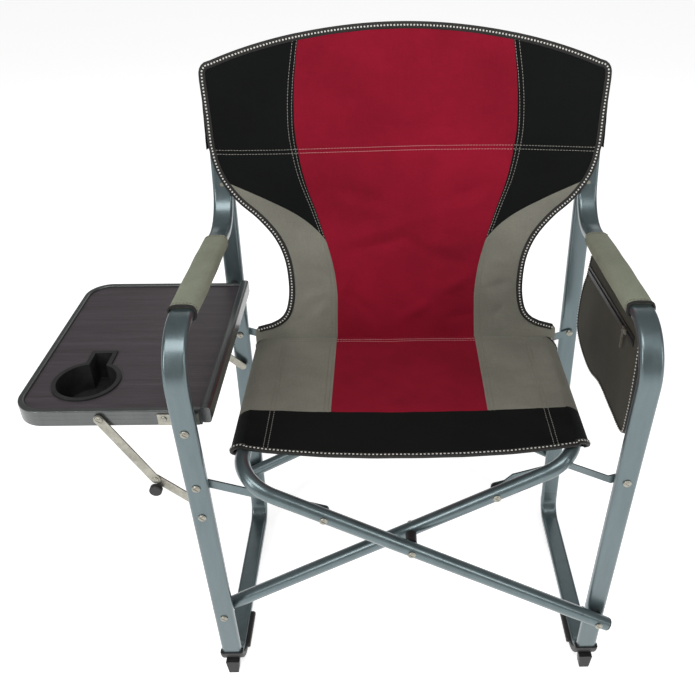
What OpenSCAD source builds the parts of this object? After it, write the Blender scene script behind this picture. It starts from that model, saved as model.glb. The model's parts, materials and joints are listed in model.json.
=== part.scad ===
// Folding director chair with a side table on the left arm and a zip bag on the right.
// Each side is one bent flat-oval tube (upright, arm, front leg and floor runner) with a
// rear leg behind it. Two U-shaped round tubes cross between the sides: each runs from a
// leg up to the far seat rail, so the sides close like scissors and the seat folds up.
// X is to the sitter's left, Y runs from the front legs to the back, Z is up.

/* [Side frames] */
// Half the distance between the two side tubes
half_w = 285; // [270:1:300]
// Width of the flat-oval tube, side to side
oval_w = 30; // [26:1:34]
// Thickness of the flat-oval tube, front to back
oval_t = 13; // [11:0.5:14]
// Wall of the side tubes
wall = 1.6; // [1.2:0.1:2.5]
// Height of the armrest tube at its front corner
arm_front_z = 647; // [620:1:680]
// Height of the armrest tube at its rear corner
arm_rear_z = 628; // [600:1:650]
// Height of the top of the uprights
upright_top_z = 852; // [800:1:900]

/* [Crossing tubes] */
// Outer diameter of the crossing tubes and seat rails
round_d = 21; // [18:0.5:25]
// Height of the lower pivots on the legs
pivot_z = 136; // [120:1:150]
// Angle of the crossing tubes to the floor when open
open_angle = 29.3; // [27:0.1:31]
// Half the distance between the seat rails
rail_half = 231; // [225:1:232]
// Bend radius where a crossing tube turns into a seat rail
rail_bend = 50; // [40:1:60]

/* [Link bars] */
// Height of the link bolts on the legs
link_z = 418; // [410:1:425]
// Distance of a link bolt from the centre line, on the crossing tube
link_half = 120; // [110:1:122]
// Width of a link bar
link_w = 13; // [11:1:16]

/* [Side table] */
// Height of the table top
table_z = 528; // [520:1:535]
// Outer edge of the table, from the centre line
table_out = 512; // [480:1:540]
// Front edge of the table
table_front = 0.3; // [0:0.1:6]
// Rear edge of the table
table_rear = 344.6; // [330:0.1:345]
// Inner radius of the cup holder
cup_r = 39; // [34:1:42]

/* [Seat and back] */
// Front edge of the seat cloth
seat_front = 24; // [22:1:40]
// Rear edge of the seat cloth
seat_rear = 338; // [325:1:345]
// Height of the back's top edge at its middle
back_top = 914; // [900:1:930]
// Half the width of the back at its top corners
back_half = 304; // [303:1:308]
// Half the width of the back at its waist
waist_half = 187; // [170:1:210]

/* [Hidden] */
$fn = 64;

frame_silver = [0.60, 0.66, 0.68];
steel = [0.72, 0.71, 0.64];
black_plastic = [0.06, 0.06, 0.06];
cloth_black = [0.07, 0.08, 0.08];
cloth_grey = [0.45, 0.44, 0.38];
bag_cloth = [0.24, 0.24, 0.20];
laminate = [0.27, 0.24, 0.25];

gap = 0.3;            // space left between pieces that move past each other
fit = 0.06;           // radial clearance of a bolt in its hole
bolt_r = 3;
head_h = 2.6;         // height of a bolt's domed head
hole_r = bolt_r + fit;
round_r = round_d / 2;
lap = 1;              // how far a straight run of tube reaches into a bend
lap_grow = 0.03;      // how much thicker a bend's wall is, inside and out
washer = 1.5;         // a plastic washer between crossing tube B and a leg
front_stand = 3.6;    // spacers that keep tube A clear of the leaning legs as it folds
rear_stand = 4.6;

// The side frame lies in a plane of constant X: its outline is [y, z] points.
runner_z = 17;
front_lean = -0.06;   // the front leg leans forward as it rises
rear_lean = 0.075;    // the rear leg leans back
upright_lean = 0.2;
function front_y(z) = oval_t / 2 + front_lean * z;
function rear_y(z) = 334 + rear_lean * z;
function upright_y(z) = 359 + upright_lean * (z - arm_rear_z);
joint_z = 62;         // where the rear leg meets the runner's upturned end
top_z = 697;          // top of the rear leg, on the upright's back
rivet_z = 688;
frame_path = [
    [upright_y(upright_top_z), upright_top_z],
    [upright_y(arm_rear_z), arm_rear_z],
    [front_y(arm_front_z), arm_front_z],
    [front_y(runner_z), runner_z],
    [rear_y(runner_z), runner_z],
    [rear_y(joint_z), joint_z]
];
frame_bends = [0, 66, 65, 30, 32, 0];

// Crossing tubes. The left one (A) is bolted outside both of the right side's legs, and
// the right one (B) inside both of the left side's legs.
front_leg_y = front_y(pivot_z);
rear_leg_y = rear_y(pivot_z);
beside_leg = oval_t / 2 + round_r;
a_front = front_leg_y - beside_leg - front_stand;
a_rear = rear_leg_y + beside_leg + rear_stand;
b_front = front_leg_y + beside_leg + washer;
b_rear = rear_leg_y - beside_leg - washer;
arm_len = half_w / cos(open_angle);       // lower pivot to the middle pivot
rail_len = rail_half / cos(open_angle);   // middle pivot to the seat rail
cross_z = pivot_z + half_w * tan(open_angle);
rail_z = cross_z + rail_half * tan(open_angle);
link_on_tube_z = cross_z + link_half * tan(open_angle);
link_len = sqrt(pow(half_w - link_half, 2) + pow(link_z - link_on_tube_z, 2));
link_drop = atan((link_z - link_on_tube_z) / (half_w - link_half));
tube_end = 17;        // the tube runs on past its lower pivot
link_t = 2.5;
spacer_t = 3;

// Side table, its hinge and its folding stays (all in planes of constant Y).
rim_w = 8;
rim_h = 24;
rim_corner = 34;
rail_w = 13;
table_in = half_w - 28;
hinge_z = table_z - 14;
stay_t = 1.9;
stay_w = 13;
stay_low = [-half_w, 362];
stay_top = [-half_w - 114, hinge_z + 3];
lower_len = 79.5;
upper_len = 115.5;
stay_span = norm(stay_top - stay_low);
stay_dir = atan2(stay_top[1] - stay_low[1], stay_top[0] - stay_low[0]);
elbow_bend = acos((pow(lower_len, 2) + pow(stay_span, 2) - pow(upper_len, 2))
                  / (2 * lower_len * stay_span));
elbow = stay_low + lower_len * [cos(stay_dir + elbow_bend), sin(stay_dir + elbow_bend)];
cup_pos = [-435, 70];
panel_t = 5;
panel_z = table_z - 3 - panel_t;

// Cloth.
cloth_t = 2.4;
rail_gap = 0.5;
back_lean = atan(upright_lean);
corner_z = 858;       // height of the back's top corners
crown = back_top - corner_z;
crown_r = (pow(back_half, 2) + pow(crown, 2)) / (2 * crown);
crown_span = asin(back_half / crown_r);
sleeve_in = half_w - oval_w / 2 - 4;   // inner edge of the sleeves round the uprights
crown_at_sleeve = back_top - crown_r + sqrt(pow(crown_r, 2) - pow(sleeve_in, 2));

// Bag under the right arm: a flat pocket with a zip along its inner face.
bag_x = half_w + 5;   // middle of its thickness
bag_t = 12;
zip_rear = [288, 575];
zip_front = [46, 595];
zip_dir = atan2(zip_front[1] - zip_rear[1], zip_front[0] - zip_rear[0]);
slider_at = 0.86;     // how far along the zip the slider is
tape_w = 14;
tape_t = 0.8;
teeth_w = 3.6;
teeth_t = 1.6;

// Puts the origin under the middle of the whole chair, table included.
module place() translate([(table_out - right_out) / 2, -(y_min + y_max) / 2, 0]) children();
skid_w = 44;          // width of the skids under the floor runners
right_out = half_w + skid_w / 2;
y_min = min(bend_centre(frame_path, frame_bends, 2)[0] - frame_bends[2] - oval_t / 2 - lap_grow,
            a_front - round_r - 0.4 - head_h);
y_max = upright_y(crown_at_sleeve) + (oval_t / 2 + 1 + cloth_t) / cos(back_lean);

// ---- shared shapes ----

// A rectangle with round corners, centred, made of exact arcs
module rounded(w, h, r) {
    square([w - 2 * r, h], center = true);
    square([w, h - 2 * r], center = true);
    for (sx = [-1, 1], sy = [-1, 1])
        translate([sx * (w / 2 - r), sy * (h / 2 - r)]) circle(r);
}

module oval_outline(grow = 0) rounded(oval_t + 2 * grow, oval_w + 2 * grow, 5 + grow);

module oval_ring(grow = 0) difference() {
    oval_outline(grow);
    oval_outline(-wall - grow);
}

module round_ring(grow = 0) difference() {
    circle(round_r + grow);
    circle(round_r - wall - grow);
}

// The flat-oval tube of a side frame, hollow
module frame_sweep() bent(frame_path, frame_bends) {
    oval_ring();
    oval_ring(lap_grow);
}

// The solid outline of the same tube, a little larger, to cut clearance with
module frame_cutter(grow) bent(frame_path, frame_bends) {
    oval_outline(grow);
    oval_outline(grow + lap_grow);
}

// Direction of run i of a path, the turn at corner i, how far the bend reaches along the
// runs on each side, where the bend starts and where its centre is
function run_dir(p, i) = atan2(p[i + 1][1] - p[i][1], p[i + 1][0] - p[i][0]);
function turn_raw(p, i) = run_dir(p, i) - run_dir(p, i - 1);
function turn(p, i) = turn_raw(p, i) > 180 ? turn_raw(p, i) - 360
    : turn_raw(p, i) < -180 ? turn_raw(p, i) + 360 : turn_raw(p, i);
function cut(p, bends, i) = i == 0 || i == len(p) - 1 ? 0 : bends[i] * tan(abs(turn(p, i)) / 2);
function bend_start(p, bends, i) = p[i]
    - cut(p, bends, i) * [cos(run_dir(p, i - 1)), sin(run_dir(p, i - 1))];
function bend_centre(p, bends, i) = bend_start(p, bends, i)
    + sign(turn(p, i)) * bends[i] * [-sin(run_dir(p, i - 1)), cos(run_dir(p, i - 1))];

// Sweeps a section along a flat path of [u, v] points with a bend radius at each corner.
// children(0) is the section of the straight runs and children(1) that of the bends, which
// is a hair thicker, so that a run's end lies inside the bend that it joins.
module bent(path, bends) {
    last = len(path) - 1;
    for (i = [0 : last - 1]) {
        before = i == 0 ? 0 : lap;
        after = i == last - 1 ? 0 : lap;
        run = norm(path[i + 1] - path[i]) - cut(path, bends, i) - cut(path, bends, i + 1);
        a = run_dir(path, i);
        start = path[i] + (cut(path, bends, i) - before) * [cos(a), sin(a)];
        translate([start[0], start[1], 0]) rotate([0, 0, a])
            rotate([90, 0, 90]) linear_extrude(run + before + after) children(0);
    }
    for (i = [1 : last - 1]) {
        centre = bend_centre(path, bends, i);
        lead = run_dir(path, i - 1);
        from = turn(path, i) > 0 ? lead - 90 : lead + 90 + turn(path, i);
        translate([centre[0], centre[1], 0]) rotate([0, 0, from])
            rotate_extrude(angle = abs(turn(path, i))) translate([bends[i], 0]) children(1);
    }
}

// Turns a drawing in the X-Y plane into the Y-Z plane at a given X
module side_plane(x) translate([x, 0, 0]) rotate([90, 0, 90]) children();

// A round bar along Y from y0 to y1 at [x, z]
module y_bar(x, z, y0, y1, r) translate([x, y0, z]) rotate([-90, 0, 0]) cylinder(h = y1 - y0, r = r);

// A ring along Y
module y_ring(x, z, y0, y1, r, inner) translate([x, y0, z]) rotate([-90, 0, 0]) difference() {
    cylinder(h = y1 - y0, r = r);
    translate([0, 0, -1]) cylinder(h = y1 - y0 + 2, r = inner);
}

// A domed bolt head with its flat side at the origin, facing -Y
module dome(r, h) rotate([90, 0, 0]) rotate_extrude()
    polygon([[0, 0], [r, 0], [r, h * 0.3], [r * 0.82, h * 0.7], [r * 0.45, h * 0.95], [0, h]]);

// A bolt along Y from y0 to y1, with a slotted head in front and a nut behind, or only one
module bolt(x, z, y0, y1, head = true, nut = true) difference() {
    union() {
        y_bar(x, z, y0, y1, bolt_r);
        if (head) translate([x, y0, z]) dome(5.6, head_h);
        if (nut) translate([x, y1, z]) mirror([0, 1, 0]) dome(5, 3);
    }
    if (head) translate([x, y0 - head_h, z]) rotate([0, 35, 0]) cube([12, 1.6, 1.3], center = true);
}

// ---- side frames ----

front_holes = [pivot_z, link_z];
rear_holes = [pivot_z, link_z];
table_holes = [hinge_z, stay_low[1]];

module frame_tube(side, extra) place() difference() {
    side_plane(side * half_w) frame_sweep();
    for (z = concat(front_holes, extra))
        y_bar(side * half_w, z, front_y(z) - 12, front_y(z) + 12, hole_r);
    y_bar(side * half_w, rivet_z, upright_y(rivet_z) - 12, upright_y(rivet_z) + 12, hole_r);
}

module rear_leg(side, extra) place() difference() {
    side_plane(side * half_w)
        bent([[rear_y(joint_z + gap), joint_z + gap], [rear_y(top_z), top_z]], [0, 0]) oval_ring();
    for (z = concat(rear_holes, extra))
        y_bar(side * half_w, z, rear_y(z) - 12, rear_y(z) + 12, hole_r);
    y_bar(side * half_w, rivet_z, rear_y(rivet_z) - 12, rear_y(rivet_z) + 12, hole_r);
}

// A short sleeve inside the runner's end and the rear leg
module leg_insert(side) place() side_plane(side * half_w)
    translate([rear_y(joint_z), joint_z, 0]) rotate([0, 0, atan2(1, rear_lean)])
        translate([-9, 0, 0]) rotate([90, 0, 90]) linear_extrude(60) difference() {
            rounded(oval_t - 2 * wall - 0.4, oval_w - 2 * wall - 0.4, 3.2);
            rounded(oval_t - 2 * wall - 4, oval_w - 2 * wall - 4, 1.5);
        }

module leg_plug(side) place() side_plane(side * half_w)
    translate([rear_y(top_z), top_z, 0]) rotate([0, 0, atan2(1, rear_lean)]) rotate([90, 0, 90]) {
        linear_extrude(2.5) translate([0.4, 0]) rounded(oval_t - 1.6, oval_w - 0.6, 4.6);
        translate([0, 0, -4]) linear_extrude(4)
            rounded(oval_t - 2 * wall - 0.3, oval_w - 2 * wall - 0.3, 3.2);
    }

module top_plug(side) place() side_plane(side * half_w)
    translate([upright_y(upright_top_z), upright_top_z, 0])
        rotate([0, 0, atan2(1, upright_lean)]) rotate([90, 0, 90]) {
            linear_extrude(3) oval_outline(-0.2);
            translate([0, 0, -15]) linear_extrude(15)
                rounded(oval_t - 2 * wall - 0.3, oval_w - 2 * wall - 0.3, 3.2);
        }

// A rivet through the rear leg and the upright, flush in front under the back's cloth
module rivets(side) place() {
    y0 = upright_y(rivet_z) - oval_t / 2;
    y1 = rear_y(rivet_z) + oval_t / 2 + 0.6;
    y_bar(side * half_w, rivet_z, y0, y1, bolt_r);
    translate([side * half_w, y1, rivet_z]) mirror([0, 1, 0]) dome(4.5, 2);
}

// A moulded shoe under one end of the floor runner: it follows the floor bend, runs on along
// the runner as a skid and has a tapered lug that stands on the floor. The front shoe wraps the
// tube's sides, and the rear shoe stays under it
module foot(side, corner, lug_y) {
    towards = corner == 3 ? 1 : -1;
    shoe_w = oval_w + (corner == 3 ? 6 : -1);
    middle = bend_centre(frame_path, frame_bends, corner);
    lead = run_dir(frame_path, corner - 1);
    place() difference() {
        union() {
            side_plane(side * half_w) {
                translate([middle[0], middle[1], 0]) rotate([0, 0, lead - 90])
                    rotate_extrude(angle = turn(frame_path, corner))
                        translate([frame_bends[corner] + 3, 0]) rounded(oval_t - 2, shoe_w, 3.5);
                translate([middle[0] + towards * skid_len / 2, runner_z - 3, 0])
                    rotate([0, 90, 0]) linear_extrude(skid_len, center = true)
                        rounded(corner == 3 ? skid_w : shoe_w, oval_t - 2, 4);
            }
            translate([side * half_w, lug_y + lug_d / 2, 0]) rotate([90, 0, 0])
                linear_extrude(lug_d) polygon([[-7.5, 0], [7.5, 0], [10.5, 26], [-10.5, 26]]);
        }
        side_plane(side * half_w) frame_cutter(0.15);
    }
}
skid_len = 64;
lug_d = 15;

// The sleeve of soft cloth over foam on an armrest
pad_front = 46;
pad_rear = 283;
pad_w = oval_w + 2;
arm_lean = atan2(arm_front_z - arm_rear_z, upright_y(arm_rear_z) - front_y(arm_front_z));
module arm_pad(side) place() side_plane(side * half_w) difference() {
    pad_section() rounded(oval_t + 6, pad_w, 7);
    pad_section() oval_outline(gap);
}
module pad_section() {
    corner = [front_y(arm_front_z), arm_front_z];
    translate([corner[0], corner[1], 0]) rotate([0, 0, -arm_lean])
        translate([pad_front - corner[0], 0, 0]) rotate([90, 0, 90])
            linear_extrude(pad_rear - pad_front) children();
}

// ---- crossing tubes ----

module cross_tube(side, y_front, y_rear) place() difference() {
    top = arm_len + rail_len;
    translate([-side * half_w, 0, pivot_z]) rotate([0, side > 0 ? -open_angle : open_angle, 0])
        mirror([side > 0 ? 0 : 1, 0, 0])
            bent([[-tube_end, y_front], [top, y_front], [top, y_rear], [-tube_end, y_rear]],
                 [0, rail_bend, rail_bend, 0]) {
                round_ring();
                round_ring(lap_grow);
            }
    for (y = [y_front, y_rear], p = [[-side * half_w, pivot_z], [0, cross_z],
                                     [side * link_half, link_on_tube_z]])
        y_bar(p[0], p[1], y - 15, y + 15, hole_r);
}

module tube_plugs(side, y_front, y_rear) place() for (y = [y_front, y_rear])
    translate([-side * half_w, y, pivot_z]) rotate([0, side > 0 ? -open_angle : open_angle, 0])
        mirror([side > 0 ? 0 : 1, 0, 0]) translate([-tube_end, 0, 0]) rotate([0, -90, 0]) {
            cylinder(h = 2, r = round_r - 0.3);
            translate([0, 0, -8]) cylinder(h = 8, r = round_r - wall - 0.15);
        }

// ---- link bars ----

// A cranked flat bar from a leg bolt to a bolt on the crossing tube. crank is a list of
// [distance along the bar, y] points of its front face.
module link_bar(side, crank) place() difference() {
    translate([-side * half_w, 0, link_z]) mirror([side > 0 ? 0 : 1, 0, 0])
        rotate([0, link_drop, 0]) intersection() {
            linear_extrude(link_w, center = true) polygon(concat(
                [for (p = crank) p], [for (i = [len(crank) - 1 : -1 : 0]) crank[i] + [0, link_t]]));
            rotate([90, 0, 0]) linear_extrude(2000, center = true) union() {
                translate([0, -link_w / 2]) square([link_len, link_w]);
                circle(link_w / 2);
                translate([link_len, 0]) circle(link_w / 2);
            }
        }
    y_bar(-side * half_w, link_z, -200, 600, hole_r);
    y_bar(-side * link_half, link_on_tube_z, -200, 600, hole_r);
}
end = link_len + link_w;
front_link_y = front_y(link_z) + oval_t / 2 + 1;
rear_link_front = rear_y(link_z) - oval_t / 2 - 1 - link_t;
a_link_y = a_front + round_r + 0.6;
a_rear_link_y = rear_y(link_z + 75) + oval_t / 2 + 0.6;   // behind the leg when folded up
b_link_y = b_front + round_r + spacer_t;
b_rear_link_y = b_rear + round_r + spacer_t;

module link_spacer(side, y0, y1) place()
    y_ring(side * link_half, link_on_tube_z, y0 + gap, y1, 7, bolt_r + 1);

// ---- side table ----

rim_path = [
    [-table_in - rail_w - 0.2, table_front + rim_w / 2],
    [-table_out + rim_w / 2, table_front + rim_w / 2],
    [-table_out + rim_w / 2, table_rear - rim_w / 2],
    [-table_in - rail_w - 0.2, table_rear - rim_w / 2]
];

module rim_section(grow) difference() {
    rounded(rim_w + 2 * grow, rim_h + 2 * grow, 2 + grow);
    translate([-0.6, -2]) rounded(rim_w - 3.4 - 2 * grow, rim_h - 9 - 2 * grow, 1);
}

module panel_outline(inset) {
    left = -table_out + rim_w + inset;
    r = rim_corner - rim_w / 2 - inset;
    bottom = table_front + rim_w + inset;
    top = table_rear - rim_w - inset;
    right = -table_in - rail_w - 0.2;
    translate([left, bottom + r]) square([right - left, top - bottom - 2 * r]);
    translate([left + r, bottom]) square([right - left - r, top - bottom]);
    for (y = [bottom + r, top - r]) translate([left + r, y]) circle(r);
}

module cup_outline(grow) {
    translate(cup_pos) circle(cup_r + grow);
    translate([cup_pos[0] + 4 - 12 - grow, cup_pos[1]]) square([24 + 2 * grow, cup_r + 28 + grow]);
}

// A flat stay bar with round ends, drawn from p to q in [x, z], from y0 back
module stay(p, q, y0) place() difference() {
    bar_dir = atan2(q[1] - p[1], q[0] - p[0]);
    translate([p[0], y0, p[1]]) rotate([0, -bar_dir, 0]) rotate([-90, 0, 0])
        linear_extrude(stay_t) {
            translate([0, -stay_w / 2]) square([norm(q - p), stay_w]);
            circle(stay_w / 2);
            translate([norm(q - p), 0]) circle(stay_w / 2);
        }
    for (h = [p, q]) y_bar(h[0], h[1], y0 - 5, y0 + 5, hole_r);
}
front_lower_y = table_front - gap - stay_t;
front_upper_y = front_lower_y - gap - stay_t;
rear_lower_y = table_rear + gap;
rear_upper_y = rear_lower_y + stay_t + gap;

// ---- cloth ----

// Half of the back's outline in [x, height]: top corner, shoulder, waist and foot
function arc_points(c, r, a0, a1, n) =
    [for (i = [0 : n]) c + r * [cos(a0 + (a1 - a0) * i / n), sin(a0 + (a1 - a0) * i / n)]];
sling_foot_z = rail_z + round_r + 7;
back_edge = [
    [back_half - 3, 790], [back_half - 4, 745], [289, 702], [261, 663], [233, 632],
    [207, 595], [191, 555], [waist_half, 515], [193, 481], [209, 463], [236, sling_foot_z]
];
crown_edge = arc_points([0, back_top - crown_r], crown_r, 90, 90 - crown_span, 12);
half_outline = concat(crown_edge, back_edge);
back_outline = concat(half_outline, [for (i = [len(half_outline) - 1 : -1 : 1])
    [-half_outline[i][0], half_outline[i][1]]]);

// A slab of the back's outline, front_off in front of the uprights' centre line
module back_slab(front_off, thick) translate([0, upright_y(0), 0]) rotate([-back_lean, 0, 0])
    translate([0, -front_off, 0]) rotate([90, 0, 0]) linear_extrude(thick)
        polygon([for (p = back_outline) [p[0], p[1] / cos(back_lean)]]);

// ================= sub-parts =================

module left_frame_tube() color(frame_silver) frame_tube(-1, table_holes);
module left_rear_leg() color(frame_silver) rear_leg(-1, table_holes);
module left_leg_insert() color(frame_silver) leg_insert(-1);
module left_leg_plug() color(black_plastic) leg_plug(-1);
module left_top_plug() color(black_plastic) top_plug(-1);
module left_rivets() color(steel) rivets(-1);
module left_front_foot() color(black_plastic) foot(-1, 3, 0);
module left_rear_foot() color(black_plastic) foot(-1, 4, 340);
module left_arm_pad() color(cloth_grey) arm_pad(-1);

module left_bolts() color(steel) place() {
    bolt(-half_w, pivot_z, front_leg_y - oval_t / 2 - 0.8, b_front + round_r + 0.4);
    bolt(-half_w, pivot_z, b_rear - round_r - 0.4, rear_leg_y + oval_t / 2 + 0.8);
    bolt(-half_w, link_z, front_y(link_z) - oval_t / 2 - 0.8, a_link_y + link_t + 0.4);
    bolt(-half_w, link_z, rear_y(link_z) - oval_t / 2 - 0.8, a_rear_link_y + link_t + 0.4);
    bolt(-half_w, stay_low[1], front_y(stay_low[1]) - oval_t / 2 - 0.8,
         front_lower_y + stay_t - 0.05, nut = false);
    bolt(-half_w, stay_low[1], rear_lower_y + 0.05, rear_y(stay_low[1]) + oval_t / 2 + 0.8,
         head = false);
    bolt(-half_w, hinge_z, front_y(hinge_z) - oval_t / 2 - 0.8, table_front + rim_w + 0.4);
    bolt(-half_w, hinge_z, table_rear - rim_w - 0.4, rear_y(hinge_z) + oval_t / 2 + 0.8);
}

module left_spacers() color(black_plastic) place() {
    low = stay_low[1];
    y_ring(-half_w, pivot_z, front_leg_y + oval_t / 2 + 0.55, b_front - round_r - 0.05, 8, hole_r);
    y_ring(-half_w, pivot_z, b_rear + round_r + 0.05, rear_leg_y - oval_t / 2 - 0.65, 8, hole_r);
    y_ring(-half_w, link_z, rear_y(link_z) + oval_t / 2 + 0.6, a_rear_link_y - gap, 6.5, hole_r);
    y_ring(-half_w, low, front_y(low) + oval_t / 2 + 0.5, front_upper_y - gap, 5.5, hole_r);
    y_ring(-half_w, low, rear_upper_y + stay_t + gap, rear_y(low) - oval_t / 2 - 0.5, 5.5, hole_r);
    y_ring(-half_w, hinge_z, front_y(hinge_z) + oval_t / 2 + 0.5, table_front - 2 - gap, 7, hole_r);
    y_ring(-half_w, hinge_z, table_rear + 2 + gap, rear_y(hinge_z) - oval_t / 2 - 0.6, 7, hole_r);
}

module back_sling() color(cloth_black) place() difference() {
    union() {
        back_slab(oval_t / 2 + 1, cloth_t);
        intersection() {
            back_slab(-oval_t / 2 - 1 - cloth_t, oval_t + 2 + 2 * cloth_t);
            for (s = [-1, 1]) translate([s * (sleeve_in + 50), 400, 0])
                cube([100, 400, 1960], center = true);
            translate([-400, 0, 722]) cube([800, 600, 300]);
        }
    }
    for (s = [-1, 1]) side_plane(s * half_w)
        translate([upright_y(700), 700, 0]) rotate([0, 0, atan2(1, upright_lean)])
            rotate([90, 0, 90]) linear_extrude((upright_top_z + 4.5 - 700) / cos(back_lean))
                oval_outline(gap);
}

module tube_b() color(frame_silver) cross_tube(1, b_front, b_rear);
module tube_a() color(frame_silver) cross_tube(-1, a_front, a_rear);
module tube_b_plugs() color(black_plastic) tube_plugs(1, b_front, b_rear);
module tube_a_plugs() color(black_plastic) tube_plugs(-1, a_front, a_rear);

module tube_b_bolts() color(steel) place() for (y = [b_front, b_rear])
    bolt(link_half, link_on_tube_z, y - round_r - 0.1, y + round_r + 0.1, nut = false);
module tube_a_bolts() color(steel) place() for (y = [a_front, a_rear])
    bolt(-link_half, link_on_tube_z, y - round_r - 0.1, y + round_r + 0.1, nut = false);

module cross_bolts() color(steel) place() {
    bolt(0, cross_z, a_front - round_r - 0.4, b_front + round_r + 0.4);
    bolt(0, cross_z, b_rear - round_r - 0.4, a_rear + round_r + 0.4);
}
module cross_spacers() color(black_plastic) place() {
    y_ring(0, cross_z, a_front + round_r + gap, b_front - round_r - gap, 8, hole_r);
    y_ring(0, cross_z, b_rear + round_r + gap, a_rear - round_r - gap, 8, hole_r);
}

module seat_sling() color(cloth_black) place() {
    top = rail_z + round_r + rail_gap;
    translate([-rail_half - round_r, seat_front, top])
        cube([2 * (rail_half + round_r), seat_rear - seat_front, cloth_t]);
    for (s = [[-1, a_front, a_rear], [1, b_front, b_rear]])
        y_ring(s[0] * rail_half, rail_z, s[1] + rail_bend + 1, s[2] - rail_bend - 1,
               round_r + rail_gap + cloth_t, round_r + rail_gap);
}

module right_frame_tube() color(frame_silver) frame_tube(1, []);
module right_rear_leg() color(frame_silver) rear_leg(1, []);
module right_leg_insert() color(frame_silver) leg_insert(1);
module right_leg_plug() color(black_plastic) leg_plug(1);
module right_top_plug() color(black_plastic) top_plug(1);
module right_rivets() color(steel) rivets(1);
module right_front_foot() color(black_plastic) foot(1, 3, 0);
module right_rear_foot() color(black_plastic) foot(1, 4, 340);
module right_arm_pad() color(cloth_grey) arm_pad(1);

module right_bolts() color(steel) place() {
    bolt(half_w, pivot_z, a_front - round_r - 0.4, front_leg_y + oval_t / 2 + 0.8);
    bolt(half_w, pivot_z, rear_leg_y - oval_t / 2 - 0.8, a_rear + round_r + 0.4);
    bolt(half_w, link_z, front_y(link_z) - oval_t / 2 - 0.8, front_link_y + link_t + 0.4);
    bolt(half_w, link_z, rear_link_front - 0.4, rear_y(link_z) + oval_t / 2 + 0.8);
}

module right_spacers() color(black_plastic) place() {
    y_ring(half_w, pivot_z, a_front + round_r + 0.05, front_leg_y - oval_t / 2 - 0.55, 8, hole_r);
    y_ring(half_w, pivot_z, rear_leg_y + oval_t / 2 + 0.65, a_rear - round_r - 0.05, 8, hole_r);
}

module bag_shell() color(bag_cloth) place() translate([bag_x - bag_t / 2, 0, 0])
    rotate([90, 0, 90]) linear_extrude(bag_t) polygon([
        [40, pad_under(40)], [pad_rear, pad_under(pad_rear)], [290, 577], [305, 545],
        [314, 508], [314, 475], [301, 456], [266, 442], [208, 441], [152, 456], [81, 458],
        [24, 464], [20, 515], [26, 565], [40, 600]]);
function pad_under(y) = arm_front_z - (y - front_y(arm_front_z)) * tan(arm_lean)
    - (oval_t / 2 + 3 + gap) / cos(arm_lean);

// Places a piece drawn on the zip: X along it from its rear end, Y across it, Z out of the bag
module on_zip() place() translate([bag_x - bag_t / 2, zip_rear[0], zip_rear[1]])
    rotate([zip_dir - 180, 0, 0]) rotate([0, -90, 0]) rotate([0, 0, -90]) children();
zip_len = norm(zip_front - zip_rear);
module bag_zip() color(black_plastic) on_zip() {
    translate([0, -tape_w / 2, 0]) cube([zip_len, tape_w, tape_t]);
    translate([0, -teeth_w / 2, tape_t]) cube([zip_len, teeth_w, teeth_t]);
}

module zip_slider() color(steel) on_zip() translate([zip_len * slider_at, 0, tape_t + gap]) {
    difference() {
        translate([-6, -3.8, 0]) cube([12, 7.6, slider_t]);
        translate([-7, -teeth_w / 2 - 0.25, -1]) cube([14, teeth_w + 0.5, teeth_t + 1]);
    }
    translate([0, 0, slider_t]) cylinder(h = pull_t + 0.5, r = 1);
    translate([0, 0, slider_t + pull_t + 0.5]) cylinder(h = 0.8, r = 2);
}

// A pull with an eye round the slider's peg, hanging straight down
module zip_pull() color(steel) on_zip()
    translate([zip_len * slider_at, 0, tape_t + gap + slider_t + 0.25])
        rotate([0, 0, zip_dir - 270]) linear_extrude(pull_t) difference() {
            union() {
                circle(3);
                translate([0, -2]) square([pull_len, 4]);
                translate([pull_len, 0]) circle(2.6);
            }
            circle(1.08);
        }
slider_t = teeth_t + 1.2;
pull_t = 1.4;
pull_len = 24;

module left_front_link() color(frame_silver) link_bar(1, [[-link_w, a_link_y], [end, a_link_y]]);
module left_rear_link() color(frame_silver) link_bar(1, [[-link_w, a_rear_link_y], [end, a_rear_link_y]]);
module right_front_link() color(frame_silver) link_bar(-1, [
    [-link_w, front_link_y], [20, front_link_y], [70, b_link_y + 8], [link_len - 28, b_link_y + 8],
    [link_len - 15, b_link_y], [end, b_link_y]]);
module right_rear_link() color(frame_silver) link_bar(-1, [
    [-link_w, rear_link_front], [30, rear_link_front], [link_len - 30, b_rear_link_y],
    [end, b_rear_link_y]]);
module left_link_spacers() color(black_plastic) link_spacer(-1, a_rear + round_r, a_rear_link_y);
module right_link_spacers() color(black_plastic) {
    link_spacer(1, b_front + round_r, b_link_y);
    link_spacer(1, b_rear + round_r, b_rear_link_y);
}

module table_rim() color(frame_silver) place() difference() {
    translate([0, 0, table_z - rim_h / 2]) bent(rim_path, [0, rim_corner, rim_corner, 0]) {
        rim_section(0);
        rim_section(lap_grow);
    }
    for (y = [table_front, table_rear - rim_w]) {
        y_bar(-half_w, hinge_z, y - 1, y + rim_w + 1, hole_r);
        y_bar(stay_top[0], stay_top[1], y - 1, y + rim_w + 1, hole_r);
        y_bar(-half_w - 32, hinge_z + 2, y - 1, y + rim_w + 1, 2.1);
    }
}
module table_panel() color(laminate) place() translate([0, 0, panel_z]) linear_extrude(panel_t)
    difference() {
        panel_outline(0.2);
        cup_outline(2.6);
    }
module table_rail() color(frame_silver) place() {
    translate([-table_in - rail_w / 2, table_front + 10, table_z - 8]) rotate([-90, 0, 0])
        linear_extrude(table_rear - table_front - 20) difference() {
            rounded(rail_w, 24, 4);
            rounded(rail_w - 2 * wall, 24 - 2 * wall, 3);
        }
}
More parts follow.
